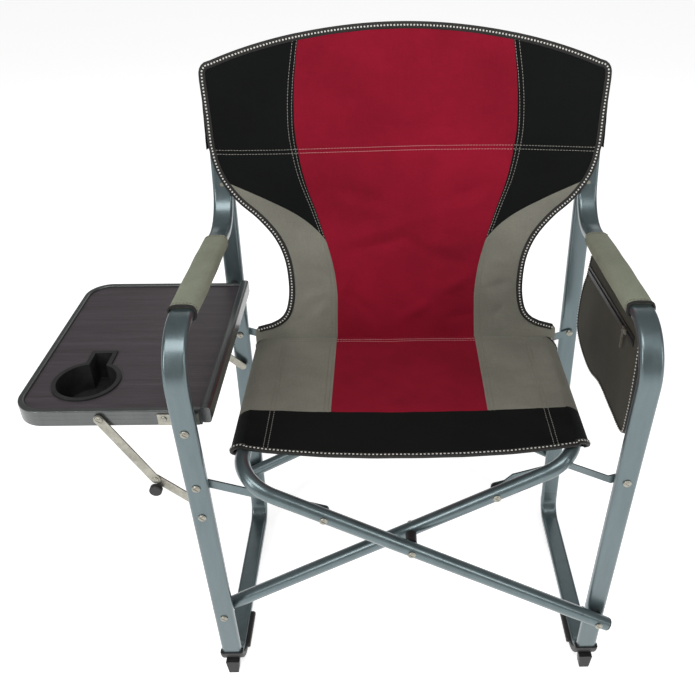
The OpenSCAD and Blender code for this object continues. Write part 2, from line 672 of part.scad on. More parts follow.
module table_rail_caps() color(frame_silver) place() for (f = [0, 1])
    translate([-table_in - rail_w / 2, f == 0 ? table_front + 10 : table_rear - 10, table_z - 8])
        mirror([0, f, 0]) rotate([90, 0, 0]) {
            linear_extrude(10) rounded(rail_w - 0.4, 23.6, 3.8);
            translate([0, 0, -12]) linear_extrude(12) rounded(rail_w - 3.6, 20.4, 2.6);
        }
module cup_holder() color(black_plastic) place() difference() {
    union() {
        translate([0, 0, panel_z + panel_t]) linear_extrude(2.4) cup_outline(6);
        translate([0, 0, panel_z - 36]) linear_extrude(36 + panel_t) cup_outline(2.2);
    }
    translate([0, 0, panel_z - 34]) linear_extrude(80) cup_outline(0);
}
module table_brackets() color(steel) place() for (y = [table_front - 2, table_rear])
    difference() {
        translate([-half_w - 40, y, hinge_z - 8]) cube([52, 2, 17]);
        y_bar(-half_w, hinge_z, y - 1, y + 3, hole_r);
        y_bar(-half_w - 32, hinge_z + 2, y - 1, y + 3, 2.1);
    }
module table_rivets() color(steel) place() {
    for (f = [[table_front - 2, 1], [table_rear + 2, -1]]) {
        translate([-half_w - 32, f[0], hinge_z + 2]) mirror([0, f[1] > 0 ? 0 : 1, 0]) {
            dome(4, 1.8);
            rotate([-90, 0, 0]) cylinder(h = rim_w + 2, r = 2);
        }
    }
}
module stay_top_bolts() color(steel) place() {
    bolt(stay_top[0], stay_top[1], front_upper_y - 0.2, table_front + rim_w, nut = false);
    bolt(stay_top[0], stay_top[1], table_rear - rim_w, rear_upper_y + stay_t + 0.2, head = false);
}

module front_upper_stay() color(steel) stay(stay_top, elbow, front_upper_y);
module rear_upper_stay() color(steel) stay(stay_top, elbow, rear_upper_y);
module front_lower_stay() color(steel) stay(elbow, stay_low, front_lower_y);
module rear_lower_stay() color(steel) stay(elbow, stay_low, rear_lower_y);
module elbow_bolts() color(steel) place() {
    translate([elbow[0], front_upper_y - 0.1, elbow[1]]) dome(4.5, 2);
    y_bar(elbow[0], elbow[1], front_upper_y - 0.1, front_upper_y + stay_t - 0.1, bolt_r);
    translate([elbow[0], rear_upper_y + stay_t + 0.1, elbow[1]]) mirror([0, 1, 0]) dome(4.5, 2);
    y_bar(elbow[0], elbow[1], rear_upper_y + 0.1, rear_upper_y + stay_t + 0.1, bolt_r);
}
module stay_knob() color(black_plastic) place()
    translate([elbow[0] - 1, front_upper_y - 0.3, elbow[1] - 15]) rotate([90, 0, 0]) {
        cylinder(h = 6, r = 8.5);
        translate([0, 0, 6]) cylinder(h = 1.2, r1 = 8.5, r2 = 7.4, $fn = 48);
    }

left_frame_tube();
left_rear_leg();
left_leg_insert();
left_leg_plug();
left_top_plug();
left_rivets();
left_front_foot();
left_rear_foot();
left_arm_pad();
left_bolts();
left_spacers();
back_sling();
tube_b();
tube_b_plugs();
tube_b_bolts();
cross_bolts();
cross_spacers();
seat_sling();
tube_a();
tube_a_plugs();
tube_a_bolts();
right_frame_tube();
right_rear_leg();
right_leg_insert();
right_leg_plug();
right_top_plug();
right_rivets();
right_front_foot();
right_rear_foot();
right_arm_pad();
right_bolts();
right_spacers();
bag_shell();
bag_zip();
left_front_link();
left_rear_link();
left_link_spacers();
right_front_link();
right_rear_link();
right_link_spacers();
table_rim();
table_panel();
table_rail();
table_rail_caps();
cup_holder();
table_brackets();
table_rivets();
stay_top_bolts();
front_upper_stay();
rear_upper_stay();
stay_knob();
elbow_bolts();
front_lower_stay();
rear_lower_stay();
zip_slider();
zip_pull();
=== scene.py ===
import json
import math

import bmesh
import bpy
import numpy as np
from mathutils import Matrix, Vector


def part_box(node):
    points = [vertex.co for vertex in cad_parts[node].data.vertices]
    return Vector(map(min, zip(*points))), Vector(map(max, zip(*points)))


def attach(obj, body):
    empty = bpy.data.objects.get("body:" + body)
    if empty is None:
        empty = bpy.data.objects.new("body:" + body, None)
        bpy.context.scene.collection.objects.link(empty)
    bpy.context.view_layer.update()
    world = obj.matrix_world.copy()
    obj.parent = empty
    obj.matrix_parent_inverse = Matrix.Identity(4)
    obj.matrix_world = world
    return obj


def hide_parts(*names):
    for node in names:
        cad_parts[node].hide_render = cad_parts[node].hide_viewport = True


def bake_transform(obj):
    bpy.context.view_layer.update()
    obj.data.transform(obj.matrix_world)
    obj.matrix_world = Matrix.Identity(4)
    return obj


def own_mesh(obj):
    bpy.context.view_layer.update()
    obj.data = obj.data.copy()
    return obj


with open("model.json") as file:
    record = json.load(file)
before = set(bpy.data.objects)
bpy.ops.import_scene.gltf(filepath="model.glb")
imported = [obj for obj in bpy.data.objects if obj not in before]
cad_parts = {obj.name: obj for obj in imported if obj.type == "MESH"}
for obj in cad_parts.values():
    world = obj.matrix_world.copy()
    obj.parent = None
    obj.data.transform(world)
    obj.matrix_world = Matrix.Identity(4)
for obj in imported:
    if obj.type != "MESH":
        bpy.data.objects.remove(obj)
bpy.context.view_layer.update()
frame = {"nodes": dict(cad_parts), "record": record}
nodes = frame["nodes"]

# ---- the chair's own drawing frame ----
# Lengths are in millimetres here. X is measured from the middle of the chair, Y from the front
# legs and Z from the floor, and row_frame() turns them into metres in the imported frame.
MM = 0.001
left_tube, right_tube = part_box("left_frame_tube"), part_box("right_frame_tube")
rim_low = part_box("table_rim")[0]
CENTRE_X = (left_tube[0].x + right_tube[1].x) / 2
RIM_BEHIND = 0.3            # the table's rim begins this far behind the front legs
FRONT_Y = rim_low.y - RIM_BEHIND * MM
ORIGIN = np.array([CENTRE_X, FRONT_Y, 0])


def row_frame(points):
    return np.asarray(points, float) * MM + ORIGIN


def drawing(corner):
    """A corner of a CAD box in the chair's drawing frame."""
    return (np.array(corner) - ORIGIN) / MM


sling_low, sling_high = (drawing(c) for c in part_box("back_sling"))
seat_low = drawing(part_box("seat_sling")[0])
HALF_W = (drawing(right_tube[1])[0] + drawing(right_tube[0])[0]) / 2
BACK_TOP = sling_high[2]
BACK_HALF = sling_high[0]
FOOT_Z = sling_low[2]
SLOPE = 0.2                 # the uprights and the back lean back this much for each mm of height
LEAN = math.atan(SLOPE)
UPRIGHT_FOOT_Y = 233.4      # where the uprights' centre line would meet the floor
PANEL_OFF = 8.7             # the back cloth's middle layer is this far in front of that line
BACK_NORMAL = np.array([0, -math.cos(LEAN), math.sin(LEAN)])
SLEEVE_IN = HALF_W - 19     # inner edge of the sleeves round the uprights
RAIL_X = 231.0
RAIL_Z = 425.6
SLEEVE_R = 12.2             # the seat cloth's middle layer round a rail
CLOTH_T = 2.2
SHARP_DEG = 40              # edges sharper than this stay sharp


def smooth_curve(points, count=400):
    """A Catmull-Rom curve through a few points."""
    p = np.asarray(points, float)
    p = np.vstack([2 * p[0] - p[1], p, 2 * p[-1] - p[-2]])
    at = np.linspace(0, len(p) - 3 - 1e-9, count)
    i, t = at.astype(int), (at % 1)[:, None]
    a, b, c, d = p[i], p[i + 1], p[i + 2], p[i + 3]
    return 0.5 * (2 * b + (c - a) * t + (2 * a - 5 * b + 4 * c - d) * t**2
                  + (3 * b - a - 3 * c + d) * t**3)


# ---- material helpers ----
class Shader:
    """A node material, with short calls to add and link nodes."""

    def __init__(self, name, **settings):
        self.material = bpy.data.materials.new(name)
        self.material.use_nodes = True
        self.tree = self.material.node_tree
        self.surface = self.tree.nodes["Principled BSDF"]
        for socket, value in settings.items():
            self.surface.inputs[socket.replace("_", " ")].default_value = value

    def add(self, kind, inputs=(), **settings):
        made = self.tree.nodes.new("ShaderNode" + kind)
        for key, value in settings.items():
            setattr(made, key, value)
        for key, value in dict(inputs).items():
            if isinstance(value, bpy.types.NodeSocket):
                self.tree.links.new(value, made.inputs[key])
            else:
                made.inputs[key].default_value = value
        return made

    def math(self, operation, a, b=0.0):
        return self.add("Math", {0: a, 1: b}, operation=operation).outputs[0]

    def place(self):
        return self.add("TexCoord").outputs["Object"]

    def stretched(self, scale):
        return self.add("Mapping", {"Vector": self.place(), "Scale": scale}).outputs[0]

    def noise(self, scale, detail=3.0, vector=None, rough=0.55):
        vector = self.place() if vector is None else vector
        inputs = {"Vector": vector, "Scale": scale, "Detail": detail, "Roughness": rough}
        return self.add("TexNoise", inputs).outputs["Fac"]

    def ramp(self, value, stops):
        made = self.add("ValToRGB", {"Fac": value})
        ramp = made.color_ramp
        while len(ramp.elements) < len(stops):
            ramp.elements.new(0.5)
        for element, (at, colour) in zip(ramp.elements, stops):
            element.position = at
            element.color = (*colour, 1)
        return made.outputs["Color"]

    def span(self, value, low, high):
        inputs = {"Value": value, "To Min": low, "To Max": high}
        return self.add("MapRange", inputs).outputs[0]

    def to(self, socket, value):
        self.tree.links.new(value, self.surface.inputs[socket])

    def bump(self, height, distance, strength=1.0, under=None):
        inputs = {"Height": height, "Distance": distance, "Strength": strength}
        if under is not None:
            inputs["Normal"] = under
        return self.add("Bump", inputs).outputs[0]


def shade(colour, factor):
    return tuple(min(1.0, c * factor) for c in colour)


def cloth_material(name, colour, across, along, sheen=0.04, thread=1.5 * MM):
    """Plain-weave canvas: two crossing sets of yarns, uneven yarns, soft patches of dye, and
    painted shade darkening the gaps between the yarns.
    """
    s = Shader(name, Roughness=0.86, Sheen_Weight=sheen, Sheen_Roughness=0.5,
               Specular_IOR_Level=0.12)
    axes = s.add("SeparateXYZ", {0: s.place()}).outputs
    turns = 2 * math.pi / thread
    warp = s.math("SINE", s.math("MULTIPLY", axes[across], turns))
    weft = s.math("SINE", s.math("MULTIPLY", axes[along], turns))
    weave_and_gap_shade = s.math("MULTIPLY_ADD", s.math("MULTIPLY", warp, weft), 0.5)
    weave_and_gap_shade.node.inputs[2].default_value = 0.5

    def yarns_over(axis):
        scale = [60.0, 60.0, 60.0]
        scale["XYZ".index(axis)] = 1400.0
        return s.noise(1.0, 2.0, s.stretched(scale))

    yarn, cross = yarns_over(across), yarns_over(along)
    patches = s.noise(9.0, 4.0)
    mottle = s.noise(420.0, 2.0)
    tone = s.math("ADD", s.math("MULTIPLY", patches, 0.46), s.math("MULTIPLY", mottle, 0.18))
    tone = s.math("ADD", tone, s.math("MULTIPLY", s.math("ADD", yarn, cross), 0.12))
    # painted shade: the weave's height also darkens the colour in the gaps between yarns
    tone = s.math("ADD", tone, s.math("MULTIPLY", weave_and_gap_shade, 0.12))
    s.to("Base Color", s.ramp(tone, [(0.3, shade(colour, 0.66)), (0.52, colour),
                                     (0.72, shade(colour, 1.34))]))
    s.to("Roughness", s.span(mottle, 0.8, 0.95))
    soft = s.bump(s.noise(38.0, 3.0), 1.2 * MM, 0.45)
    yarns = s.bump(s.math("ADD", yarn, cross), 0.25 * MM, 0.5, soft)
    s.to("Normal", s.bump(weave_and_gap_shade, 0.22 * MM, 0.7, yarns))
    return s.material


def thread_material(name, colour):
    """Twisted yarn or woven tape."""
    s = Shader(name, Roughness=0.7, Sheen_Weight=0.1, Specular_IOR_Level=0.3)
    grain = s.noise(1900.0, 2.0)
    s.to("Base Color", s.ramp(grain, [(0.3, shade(colour, 0.6)), (0.6, colour)]))
    s.to("Normal", s.bump(grain, 0.2 * MM, 0.7))
    return s.material


def tape_material(name, colour):
    """Ribbed binding tape: fine ribs across it, a little shine on each."""
    s = Shader(name, Roughness=0.6, Sheen_Weight=0.08, Specular_IOR_Level=0.35)
    grain = s.noise(1300.0, 3.0)
    patches = s.noise(60.0, 2.0)
    tone = s.math("ADD", s.math("MULTIPLY", grain, 0.6), s.math("MULTIPLY", patches, 0.4))
    s.to("Base Color", s.ramp(tone, [(0.35, shade(colour, 0.5)), (0.65, shade(colour, 1.5))]))
    s.to("Roughness", s.span(patches, 0.5, 0.72))
    s.to("Normal", s.bump(grain, 0.3 * MM, 0.8))
    return s.material


def paint_material(name, colour, grooves=False):
    """Satin powder coat over steel: fine orange peel, faint rub marks along the tubes. grooves
    adds the fine level lines of the table rim's extrusion."""
    s = Shader(name, Metallic=0.72, Roughness=0.3, Coat_Weight=0.35, Coat_Roughness=0.14)
    peel = s.noise(650.0, 3.0)
    flake = s.noise(2600.0, 1.0)
    rubs = s.noise(1.0, 4.0, s.stretched((55.0, 55.0, 9.0)), 0.65)
    tone = s.math("ADD", s.math("MULTIPLY", flake, 0.4), s.math("MULTIPLY", rubs, 0.6))
    s.to("Base Color", s.ramp(tone, [(0.3, shade(colour, 0.82)), (0.5, colour),
                                     (0.72, shade(colour, 1.16))]))
    s.to("Roughness", s.span(rubs, 0.22, 0.4))
    normal = s.bump(peel, 0.12 * MM, 0.35)
    if grooves:
        height = s.add("SeparateXYZ", {0: s.place()}).outputs["Z"]
        wave = s.math("SINE", s.math("MULTIPLY", height, 2 * math.pi / (6.5 * MM)))
        line = s.math("GREATER_THAN", wave, 0.86)
        normal = s.bump(s.math("MULTIPLY", line, -1.0), 0.5 * MM, 0.8, normal)
    s.to("Normal", normal)
    return s.material


def steel_material(name, colour):
    """Zinc plate: cloudy spangle, light scratches."""
    s = Shader(name, Metallic=0.9, Roughness=0.4)
    cell = {"Vector": s.place(), "Scale": 190.0}
    spangle = s.add("TexVoronoi", cell, feature="F1").outputs["Color"]
    cloud = s.noise(70.0, 4.0)
    scratch = s.noise(1.0, 3.0, s.stretched((60.0, 900.0, 900.0)))
    tone = s.math("ADD", s.math("MULTIPLY", spangle, 0.3), s.math("MULTIPLY", cloud, 0.7))
    s.to("Base Color", s.ramp(tone, [(0.25, shade(colour, 0.7)), (0.55, colour),
                                     (0.8, shade(colour, 1.25))]))
    s.to("Roughness", s.span(cloud, 0.28, 0.55))
    s.to("Normal", s.bump(scratch, 0.08 * MM, 0.4))
    return s.material


def plastic_material(name, colour, rough=0.5):
    """Moulded plastic with a fine spark-eroded grain and dull handling marks."""
    s = Shader(name, Roughness=rough)
    grain = s.noise(2400.0, 2.0)
    dull = s.noise(45.0, 4.0)
    s.to("Base Color", s.ramp(dull, [(0.3, shade(colour, 0.7)), (0.7, shade(colour, 1.7))]))
    s.to("Roughness", s.span(dull, rough - 0.12, rough + 0.14))
    s.to("Normal", s.bump(grain, 0.15 * MM, 0.5))
    return s.material


def laminate_material(name, colour):
    """Dark wood-print laminate: fine streaks across the table, a few broader bands."""
    s = Shader(name, Roughness=0.42)
    fine = s.noise(1.0, 5.0, s.stretched((14.0, 620.0, 40.0)), 0.7)
    broad = s.noise(1.0, 3.0, s.stretched((4.0, 90.0, 40.0)))
    pores = s.noise(1.0, 2.0, s.stretched((90.0, 1500.0, 40.0)))
    tone = s.math("ADD", s.math("MULTIPLY", fine, 0.5), s.math("MULTIPLY", broad, 0.3))
    tone = s.math("ADD", tone, s.math("MULTIPLY", pores, 0.2))
    s.to("Base Color", s.ramp(tone, [(0.36, shade(colour, 0.55)), (0.5, colour),
                                     (0.64, shade(colour, 1.55))]))
    s.to("Roughness", s.span(fine, 0.36, 0.5))
    s.to("Normal", s.bump(pores, 0.1 * MM, 0.4))
    return s.material


RED = (0.235, 0.0052, 0.02)
BLACK = (0.0045, 0.0052, 0.005)
GREY = (0.205, 0.2, 0.165)
OLIVE = (0.052, 0.049, 0.036)
PAD = (0.25, 0.27, 0.2)
SILVER = (0.125, 0.165, 0.175)
ZINC = (0.36, 0.35, 0.3)

MAT = {
    "red": cloth_material("red_canvas", RED, "X", "Z", 0.02),
    "black": cloth_material("black_canvas", BLACK, "X", "Z", 0.02),
    "grey": cloth_material("grey_canvas", GREY, "X", "Z"),
    "red_seat": cloth_material("red_canvas_seat", RED, "X", "Y", 0.02),
    "black_seat": cloth_material("black_canvas_seat", BLACK, "X", "Y", 0.02),
    "grey_seat": cloth_material("grey_canvas_seat", GREY, "X", "Y"),
    "pad": cloth_material("pad_canvas", PAD, "X", "Y"),
    "bag": cloth_material("bag_canvas", OLIVE, "Y", "Z"),
    "tape": tape_material("binding_tape", (0.012, 0.011, 0.010)),
    "dot": thread_material("white_dash_thread", (0.72, 0.71, 0.66)),
    "light_thread": thread_material("light_thread", (0.3, 0.29, 0.26)),
    "pink_thread": thread_material("pink_thread", (0.62, 0.27, 0.28)),
    "grey_thread": thread_material("grey_thread", (0.2, 0.185, 0.145)),
    "paint": paint_material("silver_powder_coat", SILVER),
    "rim": paint_material("rim_extrusion", (0.105, 0.11, 0.11), grooves=True),
    "steel": steel_material("zinc_plate", ZINC),
    "plastic": plastic_material("black_moulding", (0.012, 0.012, 0.012)),
    "laminate": laminate_material("dark_laminate", (0.052, 0.042, 0.048)),
}

# ---- carried-over CAD nodes ----
FINISH = {"frame_tube": "paint", "steel": "steel", "black_plastic": "plastic",
          "laminate": "laminate"}
for part in frame["record"]["subparts"]:
    if part["material_slot"] in FINISH:
        carried = nodes[part["node"]].data.materials
        carried.clear()
        rim = part["node"] in ("table_rim", "table_rail", "table_rail_caps")
        carried.append(MAT["rim" if rim else FINISH[part["material_slot"]]])


# ---- mesh helpers ----
def piece(name, verts, faces, material, sharp=SHARP_DEG):
    mesh = bpy.data.meshes.new(name)
    mesh.from_pydata([tuple(v) for v in row_frame(verts)], [], [tuple(f) for f in faces])
    mesh.validate()
    mesh.update()
    mesh.shade_smooth()
    mesh.set_sharp_from_angle(angle=math.radians(sharp))
    mesh.materials.append(MAT[material])
    made = bpy.data.objects.new(name, mesh)
    bpy.context.scene.collection.objects.link(made)
    return made


def normals_of(points):
    """Unit normals of a grid of points: across its columns, turned towards its rows."""
    down, across = np.gradient(points, axis=0), np.gradient(points, axis=1)
    n = np.cross(across, down)
    return n / np.maximum(np.linalg.norm(n, axis=2, keepdims=True), 1e-9)


def slab(grid, normals, thick, closed=False):
    """A closed sheet of cloth round a grid of middle points: (vertices, faces). closed joins
    its last column to its first."""
    rows, cols = grid.shape[:2]
    verts = np.concatenate([(grid + normals * thick / 2).reshape(-1, 3),
                            (grid - normals * thick / 2).reshape(-1, 3)])
    under = rows * cols

    def at(r, c):
        return r * cols + c % cols

    faces = []
    for r in range(rows - 1):
        for c in range(cols if closed else cols - 1):
            q = (at(r, c), at(r, c + 1), at(r + 1, c + 1), at(r + 1, c))
            faces += [q, tuple(under + i for i in reversed(q))]
    border = [[at(0, c) for c in range(cols + closed)],
              [at(rows - 1, c) for c in range(cols + closed)][::-1]]
    if not closed:
        border += [[at(r, cols - 1) for r in range(rows)],
                   [at(r, 0) for r in range(rows)][::-1]]
    for line in border:
        faces += [(b, a, under + a, under + b) for a, b in zip(line, line[1:])]
    return verts, faces


def block(grid, normals, rows, cols):
    return slab(grid[rows, cols], normals[rows, cols], CLOTH_T)


def spaced(points, step):
    """Points along a line at an even step."""
    p = np.asarray(points, float)
    along = np.concatenate([[0], np.cumsum(np.linalg.norm(np.diff(p, axis=0), axis=1))])
    count = max(2, int(along[-1] / step) + 1)
    at = np.linspace(0, along[-1], count)
    return np.stack([np.interp(at, along, p[:, k]) for k in range(p.shape[1])], axis=1)


def frames(points, normals):
    """Tangent, side and normal at each point of a line on a surface."""
    t = np.gradient(points, axis=0)
    t /= np.maximum(np.linalg.norm(t, axis=1, keepdims=True), 1e-9)
    n = normals - (normals * t).sum(1, keepdims=True) * t
    n /= np.maximum(np.linalg.norm(n, axis=1, keepdims=True), 1e-9)
    return t, np.cross(n, t), n


def framed(points, normals, step):
    """Evenly spaced points of a line on a surface, with their tangents, sides and normals."""
    both = spaced(np.hstack([points, normals]), step)
    return both[:, :3], *frames(both[:, :3], both[:, 3:])


def sweep(points, side, up, section, ring=False):
    """Vertices and faces of a tube: section is a list of (sideways, upwards) offsets. ring joins
    its last section to its first."""
    count, k = len(points), len(section)
    verts = [p + a * s + b * u for p, s, u in zip(points, side, up) for a, b in section]
    faces = []
    for i in range(count if ring else count - 1):
        j = (i + 1) % count
        faces += [(i * k + m, i * k + (m + 1) % k, j * k + (m + 1) % k, j * k + m)
                  for m in range(k)]
    if not ring:
        faces += [tuple(range(k))[::-1], tuple((count - 1) * k + m for m in range(k))]
    return verts, faces


def oval(half_w, half_h, count=14, power=2.0):
    """A rounded section, squarer as power grows."""
    made = []
    for i in range(count):
        c, s = math.cos(2 * math.pi * i / count), math.sin(2 * math.pi * i / count)
        made.append((half_w * math.copysign(abs(c) ** (2 / power), c),
                     half_h * math.copysign(abs(s) ** (2 / power), s)))
    return made


def lozenges(centres, along, side, up, length, width, height):
    """Many small rounded blocks, such as stitches: a block has a flat base and a domed top."""
    verts, faces = [], []
    outline = [(-0.5, 0), (-0.36, 0.5), (0.36, 0.5), (0.5, 0), (0.36, -0.5), (-0.36, -0.5)]
    for p, t, s, u in zip(centres, along, side, up):
        base = len(verts)
        for scale, lift in ((1.0, -0.4), (1.0, 0.45), (0.62, 1.0)):
            verts += [p + t * a * length * scale + s * b * width * scale + u * height * lift
                      for a, b in outline]
        for ring in (0, 6):
            faces += [(base + ring + m, base + ring + 6 + m, base + ring + 6 + (m + 1) % 6,
                       base + ring + (m + 1) % 6) for m in range(6)]
        faces += [tuple(base + m for m in range(6)), tuple(base + 17 - m for m in range(6))]
    return verts, faces


def merged(parts):
    verts, faces = [], []
    for v, f in parts:
        faces += [tuple(i + len(verts) for i in face) for face in f]
        verts += list(v)
    return verts, faces


def dashes(points, normals, pitch, length, width, height, lift):
    """Blocks evenly along a line on a surface: (vertices, faces)."""
    middle, t, side, up = framed(points, normals, pitch)
    return lozenges(middle + up * lift, t, side, up, length, width, height)


STITCH = {"pitch": 4.4, "length": 3.3, "width": 0.9, "height": 0.55}
DOT = {"pitch": 4.8, "length": 2.5, "width": 2.3, "height": 0.5}


def binding(points, normals, width, thick):
    """Tape folded over an edge: a flattened tube along it."""
    line, _, side, up = framed(points, normals, 4.0)
    return sweep(line, side, up, oval(width / 2, thick / 2, 14, 2.8))


# ---- the back ----
# Half widths of the back's foot, and of the red panel at its foot and top.
FOOT_HALF, RED_FOOT, RED_TOP = 249, 114, 155
WAIST_EDGE = smooth_curve([
    [FOOT_HALF, FOOT_Z - 8], [248, 456], [235, 462.5], [216, 467.5], [200, 480], [192, 500],
    [189, 530], [193, 571], [207, 606], [232, 637], [262, 664], [286, 698], [298, 738],
    [301, 790], [BACK_HALF, 838]], 600)
RED_EDGE = smooth_curve([
    [RED_FOOT, 440], [112.5, 482], [112, 520], [119, 570], [139, 640], [157, 696], [167, 754],
    [168, 800], [164, 850], [RED_TOP, 910]])
CORNER_R = 18.0
CROWN_RISE = BACK_TOP - 858     # how far the top edge's arc rises from its ends to its middle
CROWN_R = (BACK_HALF**2 + CROWN_RISE**2) / (2 * CROWN_RISE)
STITCH_Z = 740.0                # the quilting line across the back
SEAM_Z, SEAM_RISE = 598, 98     # the black and grey panels' seam, and its rise to the outside
RAIL_DROP, RAIL_DROP_W = 13.0, 19.0     # the foot's bend down beyond the rails, and its width
FOLD_DEPTH = 1.7                # times the depths in FOLDS
SEAT_FOLD_DEPTH = 1.3           # times those in SEAT_FOLDS
FRONT_SAG, SAG_EASE = 9.0, 8.2  # the seat's sag at its front, and how much of it is gone behind
HOLLOW, EDGE_FADE = 5.0, 35     # the back's hollow in the middle; flat edges fade in over this
QUILT_PINCH, SEAM_PINCH = 1.6, 0.9      # how deep the stitched lines lie
RED_TOP_Z = 905.0               # where the red panel's columns are spread at its top
FOOT_LIFT = 1.0                 # the back's foot stands this far above the seat


def half_width(z):
    """The back's half width at a height, its top corners rounded."""
    edge = np.interp(z, WAIST_EDGE[:, 1], WAIST_EDGE[:, 0])
    into = np.clip((z - (CORNER_TOP - CORNER_R)) / CORNER_R, 0, 1)
    return edge - CORNER_R * (1 - np.sqrt(1 - into**2))


def red_half(z):
    return np.interp(z, RED_EDGE[:, 1], RED_EDGE[:, 0])


def crown(x):
    """Height of the back's top edge."""
    return BACK_TOP - CROWN_R + np.sqrt(CROWN_R**2 - np.minimum(np.abs(x), BACK_HALF) ** 2)


CORNER_TOP = float(crown(BACK_HALF - CORNER_R))


def quilt_z(x):
    """Height of the quilting line, which waves slightly."""
    return STITCH_Z - 1.5 + 2.6 * np.sin((x + 40) / 85.0)


def seat_sag(x, y):
    """How far the seat cloth hangs below its rails' tops."""
    across = 1 - np.clip(np.abs(x) / RAIL_X, 0, 1) ** 2
    return (FRONT_SAG - SAG_EASE * np.clip((y - 60) / 240, 0, 1)) * across


SEAT_TOP = RAIL_Z + SLEEVE_R
BACK_FOOT_Y = UPRIGHT_FOOT_Y + SLOPE * FOOT_Z - PANEL_OFF / math.cos(LEAN)

# Soft folds of the back: each runs from one point to another (x, z), this wide and this deep.
FOLDS = [
    (-132, 690, -15, 650, 11, -2.6), (-118, 672, -30, 640, 10, 1.6), (-112, 598, 25, 634, 12, 2.4),
    (-95, 580, 10, 606, 9, -1.8), (-12, 612, 45, 570, 9, -2.0), (55, 655, 150, 694, 13, -2.6),
    (40, 640, 140, 672, 11, 1.8), (25, 596, 112, 590, 10, 2.2), (38, 574, 108, 560, 9, -1.6),
    (48, 512, 112, 548, 10, 2.2), (-104, 524, -48, 470, 9, -2.0), (-18, 466, 56, 508, 10, 1.8),
    (-86, 556, -110, 500, 8, 1.4), (118, 480, 60, 470, 9, -1.4), (-165, 560, -118, 540, 8, -1.5),
    (-180, 500, -120, 520, 8, 1.5), (125, 520, 182, 534, 7, -2.0), (128, 570, 178, 560, 8, 1.3),
    (-150, 470, -125, 505, 7, 1.2), (140, 470, 165, 495, 7, -1.2), (-120, 775, 120, 768, 14, -1.6),
    (60, 830, 150, 806, 12, 0.9), (-150, 838, -40, 826, 12, 0.8), (-260, 720, -180, 700, 9, 0.9),
    (250, 716, 180, 690, 9, -0.9),
]


def folds(x, y, lines):
    """Depth at (x, y) of the soft folds in a list."""
    depth = np.zeros_like(x)
    for x0, y0, x1, y1, wide, deep in lines:
        length2 = (x1 - x0) ** 2 + (y1 - y0) ** 2
        t = ((x - x0) * (x1 - x0) + (y - y0) * (y1 - y0)) / length2
        away = ((x - x0) * (y1 - y0) - (y - y0) * (x1 - x0)) / math.sqrt(length2)
        along = np.where((t > -0.15) & (t < 1.15), np.cos((t - 0.5) * math.pi / 1.3) ** 2, 0)
        depth += deep * np.exp(-((away / wide) ** 2)) * along
    return depth


def ripple(x, z, size):
    """A little unevenness, the same each run."""
    return (np.sin(x / size + 1.3 * np.sin(z / size / 1.7)) * np.cos(z / size / 1.3 + 0.7)
            + 0.5 * np.sin((x + 1.7 * z) / size * 1.9))


def back_point(x, z):
    """Points of the back cloth's middle layer, with its folds, hollow, quilting and seams."""
    y = UPRIGHT_FOOT_Y + SLOPE * z - PANEL_OFF / math.cos(LEAN)
    flat = np.stack([x, y, z], axis=-1)
    edge = np.clip((half_width(np.clip(z, FOOT_Z, CORNER_TOP)) - np.abs(x)) / EDGE_FADE, 0, 1)
    hollow = -HOLLOW * np.clip(1 - (x / 250) ** 2, 0, 1)
    quilt = -QUILT_PINCH * np.exp(-(((z - quilt_z(x)) / 6) ** 2))
    seam = -SEAM_PINCH * np.exp(-(((np.abs(x) - red_half(z)) / 1.8) ** 2))
    soft = FOLD_DEPTH * folds(x, z, FOLDS) + 0.35 * ripple(x, z, 21.0)
    off = soft * (0.15 + 0.85 * edge)
    off = off + hollow * edge + quilt + seam
    return flat + off[..., None] * BACK_NORMAL


def steps(count, ends=0.012):
    """Parameters from 0 to 1 with a close pair beside each end, for a seam."""
    return np.concatenate([[0, ends], np.linspace(0, 1, count)[1:-1], [1 - ends, 1]])


SIDE, MIDDLE = steps(26), steps(56)
LOW, HIGH = np.linspace(0, 1, 46), np.linspace(0, 1, 64)


def back_grid():
    """The whole back as one grid of points, its columns and rows on the seams."""
    s = np.concatenate([-SIDE[::-1], np.zeros(len(MIDDLE) - 2), SIDE])
    u = np.concatenate([-np.ones(len(SIDE)), 2 * MIDDLE[1:-1] - 1, np.ones(len(SIDE))])
    share = np.abs(s)
    seam_z = SEAM_Z + SEAM_RISE * share**0.72
    top_side = RED_TOP + share * (BACK_HALF - CORNER_R - RED_TOP)
    top_x = np.where(share > 0, np.sign(s) * top_side, u * red_half(RED_TOP_Z))
    top_z = crown(top_x)
    foot_side = RED_FOOT + share * (FOOT_HALF - RED_FOOT)
    foot_x = np.where(share > 0, np.sign(s) * foot_side, u * RED_FOOT)
    over = np.clip((np.abs(foot_x) - RAIL_X) / RAIL_DROP_W, 0, 1)
    drop = RAIL_DROP * (1 - np.sqrt(1 - over**2))
    foot_z = SEAT_TOP - seat_sag(foot_x, BACK_FOOT_Y) + FOOT_LIFT - drop
    z = np.concatenate([foot_z + (seam_z - foot_z) * LOW[:, None],
                        (seam_z + (top_z - seam_z) * HIGH[:, None])[1:]])
    inner = red_half(z)
    outer = half_width(np.clip(z, FOOT_Z, CORNER_TOP))
    x = np.where(share > 0, np.sign(s) * (inner + share * (outer - inner)), u * inner)
    return back_point(x, z)


back = back_grid()
back_n = normals_of(back)
SEAM_ROW = len(LOW) - 1
LEFT_SEAM, RIGHT_SEAM = len(SIDE) - 1, back.shape[1] - len(SIDE)


def ride_back(made, zone):
    """The sleeves go with their uprights; the cloth between them goes with the left upright, on a
    mesh of its own.
    """
    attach(made, "right_side" if zone == "right" else "left_side")
    if zone == "middle":
        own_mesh(made)
    return made


